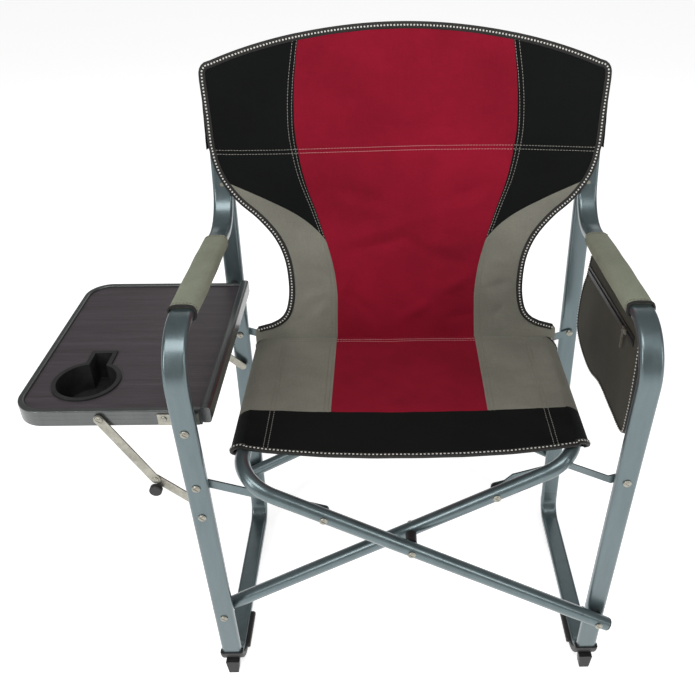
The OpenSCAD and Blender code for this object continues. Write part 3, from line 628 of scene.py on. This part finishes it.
def cut_to(made, zone):
    """Keeps what of a piece lies in one zone: left of the sleeves' inner edges, between
    them or right of them."""
    work = bmesh.new()
    work.from_mesh(made.data)
    planes = {"left": [(-1, True)], "right": [(1, True)], "middle": [(-1, False), (1, False)]}
    for sign, keep_outside in planes[zone]:
        geometry = work.verts[:] + work.edges[:] + work.faces[:]
        cut = bmesh.ops.bisect_plane(
            work, geom=geometry, plane_co=row_frame([sign * SLEEVE_IN, 0, 0]),
            plane_no=(sign, 0, 0), clear_outer=not keep_outside, clear_inner=keep_outside)
        rim = [e for e in cut["geom_cut"] if isinstance(e, bmesh.types.BMEdge)]
        if rim:
            bmesh.ops.holes_fill(work, edges=rim, sides=0)
    work.to_mesh(made.data)
    work.free()
    made.data.set_sharp_from_angle(angle=math.radians(SHARP_DEG))


def back_piece(name, shape, material, zones=("left", "middle", "right")):
    """A piece of the back, divided where the sleeves begin. Returns its zones' objects."""
    made = {}
    for zone in zones:
        label = name if len(zones) == 1 else f"{name}_{zone}"
        part = piece(label, *shape, material)
        if len(zones) > 1:
            cut_to(part, zone)
        made[zone] = ride_back(part, zone)
    return made


ROWS_LOW, ROWS_HIGH = slice(0, SEAM_ROW + 1), slice(SEAM_ROW, None)
COLS = {"left": slice(0, LEFT_SEAM + 1), "red": slice(LEFT_SEAM, RIGHT_SEAM + 1),
        "right": slice(RIGHT_SEAM, None)}

red = back_piece("back_red_panel", block(back, back_n, slice(None), COLS["red"]), "red",
                 ("middle",))["middle"]
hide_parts("back_sling")

for hand in ("left", "right"):
    lower = back_piece(f"back_{hand}_grey_panel", block(back, back_n, ROWS_LOW, COLS[hand]),
                       "grey", ("middle",))["middle"]
    upper = back_piece(f"back_{hand}_black_panel", block(back, back_n, ROWS_HIGH, COLS[hand]),
                       "black", (hand, "middle"))


# The sleeves' rear layers.
SLEEVE_LOW = 739.0          # their lower edge
SLEEVE_CLOSES = 857         # from here up they close on the front layer
SLEEVE_SEAM = -7.2          # they meet the front layer here, in front of the uprights' middle
SLEEVE_SHORT = 2.5          # they end this far below the back's top edge


def sleeve_back(sign):
    """The rear layer of the sleeve round an upright, closed at the top."""
    path = smooth_curve([
        [BACK_HALF - 1.5, SLEEVE_SEAM], [BACK_HALF - 0.3, -3], [BACK_HALF - 0.3, 3.5],
        [BACK_HALF - 3, 8], [BACK_HALF - 9, 9.2], [(BACK_HALF + SLEEVE_IN) / 2, 9.4],
        [SLEEVE_IN + 6, 9], [SLEEVE_IN - 1, 6.6], [SLEEVE_IN - 7, 1], [SLEEVE_IN - 12, -6]], 40)
    if sign > 0:
        path = path[::-1]
    x = sign * path[:, 0]
    into = np.clip((path[:, 0] - BACK_HALF + CORNER_R) / CORNER_R, 0, 1)
    top = crown(path[:, 0]) - CORNER_R * (1 - np.sqrt(1 - into**2)) - SLEEVE_SHORT
    share = np.linspace(0, 1, 44)[:, None]
    z = SLEEVE_LOW + (top - SLEEVE_LOW) * share
    closing = np.clip((z - SLEEVE_CLOSES) / np.maximum(top - SLEEVE_CLOSES, 1), 0, 1)
    behind = (path[:, 1] * (1 - closing) + SLEEVE_SEAM * closing
              + 0.5 * ripple(x + z, z, 17.0) * (share < 0.9))
    flat = np.stack([np.broadcast_to(x, z.shape), UPRIGHT_FOOT_Y + SLOPE * z, z], axis=-1)
    return flat - behind[..., None] * BACK_NORMAL


for hand, sign in (("left", -1), ("right", 1)):
    layer = sleeve_back(sign)
    made = piece(f"back_{hand}_sleeve", *slab(layer, normals_of(layer), 1.6), "black")
    ride_back(made, hand)

# Binding tape round the back's edge, with its row of white dashes.
edge_points = np.concatenate([back[:, 0], back[-1, 1:], back[-2::-1, -1]])
edge_normals = np.tile(BACK_NORMAL, (len(edge_points), 1))
BIND_W, BIND_T, BIND_IN = 10.4, 5.4, 4.2    # its width, thickness and distance in from the edge
BIND_FROM_Z = 457
bound = edge_points[:, 2] > BIND_FROM_Z
edge_points, edge_normals = edge_points[bound], edge_normals[bound]


def inset_line(points, normals, inward):
    """A line moved sideways along a surface: (points, normals)."""
    line, _, side, up = framed(points, normals, 3.0)
    return line - side * inward, up


bind_line, bind_n = inset_line(edge_points, edge_normals, BIND_IN)
back_piece("back_binding", binding(bind_line, bind_n, BIND_W, BIND_T), "tape")


def zone_of(x):
    return np.where(x < -SLEEVE_IN, 0, np.where(x > SLEEVE_IN, 2, 1))


def back_blocks(name, lines, material, sizes=STITCH, lift=CLOTH_T / 2):
    """Stitches or dashes along lines of the back, in one piece for each zone."""
    for index, zone in enumerate(("left", "middle", "right")):
        parts = []
        for points, normals in lines:
            middle, t, side, up = framed(points, normals, sizes["pitch"])
            own = zone_of(middle[:, 0]) == index
            parts.append(lozenges((middle + up * lift)[own], t[own], side[own], up[own],
                                  sizes["length"], sizes["width"], sizes["height"]))
        shape = merged(parts)
        if shape[0]:
            ride_back(piece(f"{name}_{zone}", *shape, material), zone)


back_blocks("back_binding_dashes", [(bind_line, bind_n)], "dot", DOT, BIND_T / 2)


def line_on(grid, normals, axis, target, rows):
    """A line across some rows of a grid, through the place on each where a coordinate (axis)
    is target(row)."""
    points, ns = [], []
    for r in rows:
        c = np.interp(target(grid[r]), grid[r, :, axis], np.arange(grid.shape[1]))
        i, f = int(c), c - int(c)
        j = min(i + 1, grid.shape[1] - 1)
        points.append(grid[r, i] * (1 - f) + grid[r, j] * f)
        ns.append(normals[r, i] * (1 - f) + normals[r, j] * f)
    return np.array(points), np.array(ns)


def turned(grid, normals):
    """The same grid with its columns as rows, for lines that run across."""
    return grid.swapaxes(0, 1), normals.swapaxes(0, 1)


high_rows = range(SEAM_ROW + 1, back.shape[0] - 1)
low_rows = range(2, SEAM_ROW)


def beside_red(rows):
    """The two lines of stitches beside each of the red panel's seams."""
    return [line_on(back, back_n, 0,
                    lambda row, o=o, s=s: s * (red_half(row[len(row) // 2, 2]) + o), rows)
            for s in (-1, 1) for o in (3.5, 9.5)]


back_blocks("back_seam_stitches", beside_red(high_rows), "light_thread")
back_blocks("back_grey_stitches", beside_red(low_rows), "grey_thread")


def quilting(*spans):
    """The two lines of quilting stitches over some spans of the back's columns."""
    return [line_on(*turned(back, back_n), 2, lambda row, o=o: quilt_z(row[0, 0]) + o, cols)
            for o in (-3, 3) for cols in spans]


back_blocks("back_quilt_stitches_red", quilting(range(LEFT_SEAM + 1, RIGHT_SEAM)), "pink_thread")
outer_spans = range(1, LEFT_SEAM), range(RIGHT_SEAM + 1, back.shape[1] - 1)
back_blocks("back_quilt_stitches_black", quilting(*outer_spans), "light_thread")

# ---- the seat ----
SEAT_FRONT = seat_low[1]
SEAT_REAR = 324.0
BAND_Y = 118.0              # rear edge of the black front band
SEWN_X = 200.0              # where the rail sleeves are sewn
SLEEVE_SLACK = 6.5          # how far the loose sleeves stand off the rails' outer sides
SEAT_RED = 115.0
ARC = np.radians(np.linspace(-105, 96, 22))
UNDER = np.linspace(0, 1, 6)[:-1]
TOP_SIDE, TOP_MIDDLE = steps(22), steps(40)

# The seat's folds, as in FOLDS but from one (x, y) to another.
SEAT_FOLDS = [
    (-225, 150, -140, 140, 8, 0.8), (-215, 200, -130, 190, 9, -0.8),
    (-228, 262, -150, 240, 9, 0.9), (215, 170, 140, 150, 8, 0.8),
    (222, 235, 150, 215, 9, -0.9), (226, 290, 160, 262, 8, 0.8),
    (-60, 134, 70, 132, 7, 0.7), (-90, 300, 20, 294, 9, -0.8), (-205, 300, -130, 286, 7, -0.8),
]


def seat_height(x, y):
    """Height of the seat cloth's middle layer, with its sag, folds, creases and seams."""
    lift = SEAT_FOLD_DEPTH * folds(x, y, SEAT_FOLDS)
    pulled = np.exp(-(((np.abs(x) - SEWN_X) / 3.0) ** 2)) * -0.7
    seam = np.exp(-(((np.abs(x) - SEAT_RED) / 1.8) ** 2)) * -0.6 * (y > BAND_Y)
    band = np.exp(-(((y - BAND_Y) / 2.0) ** 2)) * -0.5
    near_rails = np.exp(-(((np.abs(x) - 205) / 34) ** 2))
    creases = 0.22 * np.sin(y / 3.1 + 1.5 * np.sin(x / 40)) * near_rails
    return (SEAT_TOP - seat_sag(x, y) + lift + creases + 0.3 * ripple(x, y, 19.0)
            + pulled + seam + band)


def rail_section():
    """The (x, z) section of the left rail's sleeve, from its sewn edge underneath to the top."""
    out = np.clip(np.cos(ARC), 0, 1)
    arc = np.stack([RAIL_X + SLEEVE_R * np.cos(ARC) + SLEEVE_SLACK * out**1.5,
                    RAIL_Z + SLEEVE_R * np.sin(ARC) - 3.0 * out], 1)
    sewn = np.array([SEWN_X + 3, SEAT_TOP - 4.0])
    under = sewn + (arc[0] - sewn) * UNDER[:, None]
    return np.concatenate([under, arc]) * (-1, 1)


def at_rail(under, arc):
    """A depth for each column of a rail's sleeve: along its underside, then round the rail."""
    return np.concatenate([np.linspace(*under, len(UNDER)), np.linspace(*arc, len(ARC))])


BAND_ROW = 21               # the grid's row on the band's rear edge


def seat_grid():
    """The whole seat as one grid of points, and how many columns go round each rail."""
    left = rail_section()
    side = -RAIL_X + (RAIL_X - SEAT_RED) * TOP_SIDE
    x = np.concatenate([side, -SEAT_RED + 2 * SEAT_RED * TOP_MIDDLE[1:-1], -side[::-1]])
    k = len(left)
    # The ends of each column: both edges draw in under the rails, more so on the right.
    front = np.concatenate([at_rail((46, 34), (32, 13)), 11.0 * (np.abs(x) / RAIL_X) ** 3,
                            at_rail((60, 46), (44, 13))[::-1]]) + SEAT_FRONT - 3
    rear = np.concatenate([at_rail((308, 308), (309, SEAT_REAR)), np.full(len(x), SEAT_REAR),
                           at_rail((274, 274), (278, SEAT_REAR))[::-1]])
    t = np.concatenate([np.linspace(0, 1, BAND_ROW + 1)[:-1], 1 + np.linspace(0, 1, 44)])[:, None]
    y = np.where(t < 1, front + (BAND_Y - front) * t, BAND_Y + (rear - BAND_Y) * (t - 1))
    columns_x = np.concatenate([left[:, 0], x, -left[::-1, 0]])
    grid_x = np.broadcast_to(columns_x, y.shape).copy()
    z = np.empty_like(y)
    z[:, :k] = left[:, 1]
    z[:, -k:] = left[::-1, 1]
    z[:, k:-k] = seat_height(grid_x[:, k:-k], y[:, k:-k])
    return np.stack([grid_x, y, z], axis=-1), k


seat, rail_cols = seat_grid()
seat_n = normals_of(seat)
SEAT_LEFT = rail_cols + len(TOP_SIDE) - 1
SEAT_RIGHT = seat.shape[1] - 1 - SEAT_LEFT


def seat_piece(name, shape, material):
    made = piece(name, *shape, material)
    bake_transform(made)
    return made


band = seat_piece("seat_front_band", block(seat, seat_n, slice(0, BAND_ROW + 1), slice(None)),
                  "black_seat")
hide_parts("seat_sling")
for name, cols, width in (("seat_left_grey_panel", slice(0, SEAT_LEFT + 1), 195),
                          ("seat_right_grey_panel", slice(SEAT_RIGHT, None), 195),
                          ("seat_red_panel", slice(SEAT_LEFT, SEAT_RIGHT + 1), 232)):
    colour = "red" if "red" in name else "grey"
    made = seat_piece(name, block(seat, seat_n, slice(BAND_ROW, None), cols), colour + "_seat")

BOUND = slice(len(UNDER) + 7, seat.shape[1] - len(UNDER) - 7)     # bindings stop under the rails
front_line, front_n = inset_line(seat[0, BOUND], seat_n[0, BOUND], -2.6)
seat_piece("seat_front_binding", binding(front_line, front_n, 9.0, 5.0), "tape")
rear_line, rear_n = inset_line(seat[-1, BOUND], seat_n[-1, BOUND], 2.6)
seat_piece("seat_rear_binding", binding(rear_line, rear_n, 8.0, 4.6), "tape")


def blocks(lines, sizes=STITCH, lift=CLOTH_T / 2):
    """Stitches or dashes along several lines: (vertices, faces)."""
    return merged([dashes(p, n, sizes["pitch"], sizes["length"], sizes["width"],
                          sizes["height"], lift) for p, n in lines])


SEAT_DOT = {"pitch": 5.4, "length": 2.9, "width": 2.3, "height": 0.5}
seat_piece("seat_binding_dashes", blocks([(front_line, front_n), (rear_line, rear_n)],
                                         SEAT_DOT, 2.5), "dot")
top = seat[:, rail_cols:-rail_cols]
top_n = seat_n[:, rail_cols:-rail_cols]
front_rows, rear_rows = range(BAND_ROW + 1), range(BAND_ROW, seat.shape[0] - 6)
sewn = [s * (SEWN_X + o) for s in (-1, 1) for o in (-3, 3)]
seat_piece("seat_band_stitches", blocks(
    [line_on(top, top_n, 0, lambda row, x=x: x, front_rows) for x in sewn]),
    "light_thread")
near_red = [s * (SEAT_RED + o) for s in (-1, 1) for o in (4, 10)]
seat_piece("seat_grey_stitches", blocks(
    [line_on(top, top_n, 0, lambda row, x=x: x, rear_rows) for x in sewn + near_red]),
    "grey_thread")
first, last = len(TOP_SIDE), top.shape[1] - len(TOP_SIDE)
CREASE_Y = BACK_FOOT_Y - 5


def crease(*spans):
    """The two lines of stitches in front of the back's foot, over spans of the seat's columns."""
    return blocks([line_on(*turned(top, top_n), 1, lambda row, o=o: CREASE_Y - o, cols)
                   for o in (0, 5.5) for cols in spans])


seat_piece("seat_crease_stitches_red", crease(range(first, last)), "pink_thread")
outer_spans = range(8, first), range(last, top.shape[1] - 8)
seat_piece("seat_crease_stitches_grey", crease(*outer_spans), "grey_thread")

# ---- the arm pads ----
pad_low, pad_high = (drawing(c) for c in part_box("left_arm_pad"))
PAD_FRONT, PAD_REAR = pad_low[1], pad_high[1]
PAD_HALF_W = (pad_high[0] - pad_low[0]) / 2 + 1.2
PAD_HALF_H = 10.6
ARM_FRONT_Y, ARM_FRONT_Z = -32.3, 647.0
ARM_SLOPE = 19 / 391.3      # the arm falls this much for each mm towards the back
PAD_PUFF = 0.07             # how much fuller the pad is at its middle
PAD_ROLL, ROLL_RINGS = 1.5, 1.5     # the ends' rounding, and over how many rings it goes
HOLLOW_HALF_W, HOLLOW_HALF_H = 15.6, 7.1
PAD_STITCH_IN = 8.5         # the stitches' distance in from each end


def pad_ring(y, x, half_w, half_h, count=48, power=3.2, puff=0.0):
    """One ring of a pad's section at depth y, square to the arm."""
    z = ARM_FRONT_Z - (y - ARM_FRONT_Y) * ARM_SLOPE
    ring = []
    for i, (across, up) in enumerate(oval(half_w, half_h, count, power)):
        soft = 1 + 0.012 * math.sin(y / 13.0 + i * 0.55) + 0.01 * math.sin(y / 31.0 - i * 0.9)
        across, up = across * soft * (1 + puff * 0.5), up * soft * (1 + puff)
        ring.append([x + across, y + up * ARM_SLOPE, z + up])
    return ring


def arm_pad(hand, sign):
    """An arm pad: its cover round a hollow for the tube, the binding in front, the stitches."""
    x = sign * HALF_W
    rings = []
    count = 56
    for i in range(count + 1):
        t = i / count
        roll = math.sqrt(1 - (1 - min(1, min(t, 1 - t) * count / ROLL_RINGS)) ** 2)
        pinch = sum(math.exp(-((t - at) / 0.012) ** 2) for at in (0.035, 0.965))
        puff = PAD_PUFF * math.sin(math.pi * t) ** 0.7 - 0.05 * pinch
        rings.append(pad_ring(PAD_FRONT + (PAD_REAR - PAD_FRONT) * t, x,
                              PAD_HALF_W - PAD_ROLL + PAD_ROLL * roll,
                              PAD_HALF_H - PAD_ROLL + PAD_ROLL * roll, puff=puff))
    for i in range(count, -1, -8):
        t = i / count
        rings.append(pad_ring(PAD_FRONT + 1 + (PAD_REAR - PAD_FRONT - 2) * t, x,
                              HOLLOW_HALF_W, HOLLOW_HALF_H, power=3.6))
    rings = np.array(rings)
    total, k = rings.shape[:2]
    faces = []
    for r in range(total):
        n = (r + 1) % total
        faces += [(r * k + m, n * k + m, n * k + (m + 1) % k, r * k + (m + 1) % k)
                  for m in range(k)]
    pad = piece(f"{hand}_arm_pad_cover", rings.reshape(-1, 3), faces, "pad", sharp=60)
    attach(pad, f"{hand}_side")
    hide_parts(f"{hand}_arm_pad")
    front = np.array(pad_ring(PAD_FRONT + 1.0, x, PAD_HALF_W - 0.6, PAD_HALF_H - 0.4))
    outward = front - front.mean(0)
    outward /= np.linalg.norm(outward, axis=1, keepdims=True)
    forward = np.tile([0.0, -1.0, ARM_SLOPE], (len(front), 1))
    shape = sweep(front, outward, forward, oval(2.0, 2.6, 10, 2.4), ring=True)
    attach(piece(f"{hand}_pad_binding", *shape, "tape"), f"{hand}_side")
    lines = []
    for y in (PAD_FRONT + PAD_STITCH_IN, PAD_REAR - PAD_STITCH_IN):
        t = (y - PAD_FRONT) / (PAD_REAR - PAD_FRONT)
        ring = np.array(pad_ring(y, x, PAD_HALF_W, PAD_HALF_H, 96,
                                 puff=PAD_PUFF * math.sin(math.pi * t) ** 0.7 - 0.04))
        ring = np.vstack([ring, ring[:1]])
        out = ring - ring.mean(0)
        out[:, 1] = 0
        lines.append((ring, out / np.linalg.norm(out, axis=1, keepdims=True)))
    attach(piece(f"{hand}_pad_stitches", *blocks(lines, STITCH, 0.2), "grey_thread"),
            f"{hand}_side")


arm_pad("left", -1)
arm_pad("right", 1)

# ---- the side bag ----
bag_low, bag_high = (drawing(c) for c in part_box("bag_shell"))
BAG_INNER, BAG_OUTER = bag_low[0], bag_high[0]
bag_outline = smooth_curve([
    [34, 640], [120, 636], [200, 632], [276, 628], [289, 590], [296, 562], [308, 535],
    [314, 500], [313, 470], [300, 453], [262, 442], [208, 441], [150, 456], [85, 458],
    [30, 462], [21, 490], [20, 540], [24, 590], [34, 640]], 220)[:-1]
BAG_FRONT, BAG_TOP = 34, 631.5


def bag_top(y):
    """Height of the bag's top edge, which falls with the arm."""
    return BAG_TOP - (y - BAG_FRONT) * ARM_SLOPE


def bag_panel(x, bulge, out):
    """One face of the bag: rings from its outline to its middle, sagging out low down."""
    middle = np.array([165.0, 528.0])
    rings = []
    for r in np.concatenate([np.linspace(1, 0.9, 5), np.linspace(0.86, 0.02, 26)]):
        yz = middle + (bag_outline - middle) * r
        yz[:, 1] = np.minimum(yz[:, 1], bag_top(yz[:, 0]))
        low = np.clip((590 - yz[:, 1]) / 60, 0, 1)
        fall = np.sin(yz[:, 0] / 17.0 + 0.9 * np.sin(yz[:, 1] / 55.0))
        swell = bulge * (1 - r**3) * low + 0.5 * fall * low * (1 - r**6)
        rings.append(np.stack([x + out * swell, yz[:, 0], yz[:, 1]], 1))
    return np.array(rings)


def ringed(rings, out):
    """A panel's grid turned so that its columns close up and its normals face out."""
    grid = rings if out < 0 else rings[:, ::-1]
    wrapped = np.concatenate([grid[:, -1:], grid, grid[:, :1]], axis=1)
    n = normals_of(wrapped)[:, 1:-1]
    return grid, n


for name, x, bulge, out in (("bag_inner_face", BAG_INNER + 1.6, 0.8, -1),
                            ("bag_outer_face", BAG_OUTER - 3.5, 8.0, 1)):
    grid, n = ringed(bag_panel(x, bulge, out), out)
    if n[:, :, 0].mean() * out < 0:
        n = -n
    verts, faces = slab(grid, n, 1.4, closed=True)
    k = grid.shape[1]
    last = (grid.shape[0] - 1) * k
    under = grid.shape[0] * k
    faces = [f for f in faces if not all(i % under >= last for i in f)]
    faces += [tuple(last + m for m in range(k)), tuple(under + last + k - 1 - m for m in range(k))]
    made = piece(name, verts, faces, "bag")
    work = bmesh.new()
    work.from_mesh(made.data)
    bmesh.ops.recalc_face_normals(work, faces=work.faces[:])
    work.to_mesh(made.data)
    work.free()
    made.data.set_sharp_from_angle(angle=math.radians(SHARP_DEG))
    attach(made, "right_side")
    if out < 0:
        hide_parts("bag_shell")

# The bag's binding runs round its edge, but not along the top.
edge_y, edge_z = bag_outline.T
bag_edge = np.stack([np.full(len(edge_y), (BAG_INNER + BAG_OUTER) / 2 - 1), edge_y,
                     np.minimum(edge_z, bag_top(edge_y))], 1)
lower_edge = bag_edge[bag_edge[:, 2] < 600]
start = int(np.argmax(np.linalg.norm(np.diff(lower_edge, axis=0), axis=1)))
if np.linalg.norm(lower_edge[start + 1] - lower_edge[start]) > 30:
    lower_edge = np.roll(lower_edge, -(start + 1), axis=0)
inward_n = np.tile([-1.0, 0.0, 0.0], (len(lower_edge), 1))
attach(piece("bag_binding", *binding(lower_edge, inward_n, 5.0, 11.0), "tape"),
                "right_side")
BAG_DOT = {"pitch": 5.0, "length": 2.4, "width": 2.0, "height": 0.6}
outward_n = frames(lower_edge, inward_n)[1]
toward = np.sign(((lower_edge - bag_edge.mean(0)) * outward_n).sum(1, keepdims=True))
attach(piece("bag_binding_dashes", *merged([
    blocks([(lower_edge, outward_n * toward)], BAG_DOT, 2.6),
    blocks([(lower_edge, inward_n)], BAG_DOT, 5.6)]), "dot"),
        "right_side")

# ---- floor, light and camera ----
CAMERA_AT = row_frame([-33.568, -794.937, 1130.416])
YAW, PITCH, ROLL = (math.radians(a) for a in (1.09, 32.884, 0.037))
forward = Vector((math.sin(YAW) * math.cos(PITCH), math.cos(YAW) * math.cos(PITCH),
                  -math.sin(PITCH)))
right = forward.cross(Vector((0, 0, 1))).normalized()
upward = right.cross(forward)
rolled = right * math.cos(ROLL) + upward * math.sin(ROLL)
camera = bpy.data.objects.new("camera", bpy.data.cameras.new("camera"))
camera.data.lens = 40.216
camera.data.sensor_width = 36
camera.data.shift_x, camera.data.shift_y = -0.0727, -0.0002
camera.data.clip_start, camera.data.clip_end = 0.02, 60
turned = Matrix((rolled, forward.cross(rolled) * -1, -forward)).transposed()
camera.matrix_world = Matrix.Translation(Vector(CAMERA_AT)) @ turned.to_4x4()
bpy.context.scene.collection.objects.link(camera)
bpy.context.scene.camera = camera

floor_shader = Shader("pale_floor", Roughness=0.9, Emission_Color=(1, 1, 1, 1),
                      Emission_Strength=0.72)
floor_tone = floor_shader.noise(2.0, 2.0)
floor_shader.to("Base Color", floor_shader.ramp(floor_tone, [(0.0, (0.86, 0.86, 0.86)),
                                                             (1.0, (0.9, 0.9, 0.9))]))
bpy.ops.mesh.primitive_plane_add(size=40, location=(0, 8, -0.0005))
floor = bpy.context.object
floor.name = "floor"
floor.data.materials.append(floor_shader.material)


def lamp(name, at, aim, size, power):
    light = bpy.data.lights.new(name, "AREA")
    light.shape = "RECTANGLE"
    light.size, light.size_y = size
    light.energy = power
    made = bpy.data.objects.new(name, light)
    made.location = at
    made.rotation_mode = "QUATERNION"
    made.rotation_quaternion = (Vector(aim) - Vector(at)).to_track_quat("-Z", "Y")
    bpy.context.scene.collection.objects.link(made)


lamp("overhead", (-0.1, -1.3, 2.9), (0, 0.1, 0.4), (2.0, 1.0), 34)
lamp("front_left", (-1.9, -2.0, 1.9), (0, 0, 0.5), (0.7, 1.6), 26)
lamp("front_right", (2.2, -1.6, 1.7), (0, 0, 0.5), (0.5, 1.6), 16)
lamp("behind", (0.2, 2.6, 2.2), (0, 0, 0.5), (2.4, 1.2), 8)
world = bpy.data.worlds.new("studio")
world.use_nodes = True
sky = world.node_tree.nodes["Background"]
sky.inputs["Color"].default_value = (1, 1, 1, 1)
seen = world.node_tree.nodes.new("ShaderNodeMapRange")     # seen white, but lights softly
seen.inputs["To Min"].default_value, seen.inputs["To Max"].default_value = 0.24, 0.95
path = world.node_tree.nodes.new("ShaderNodeLightPath")
world.node_tree.links.new(path.outputs["Is Camera Ray"], seen.inputs["Value"])
world.node_tree.links.new(seen.outputs[0], sky.inputs["Strength"])
bpy.context.scene.world = world
bpy.context.scene.view_settings.view_transform = "Standard"
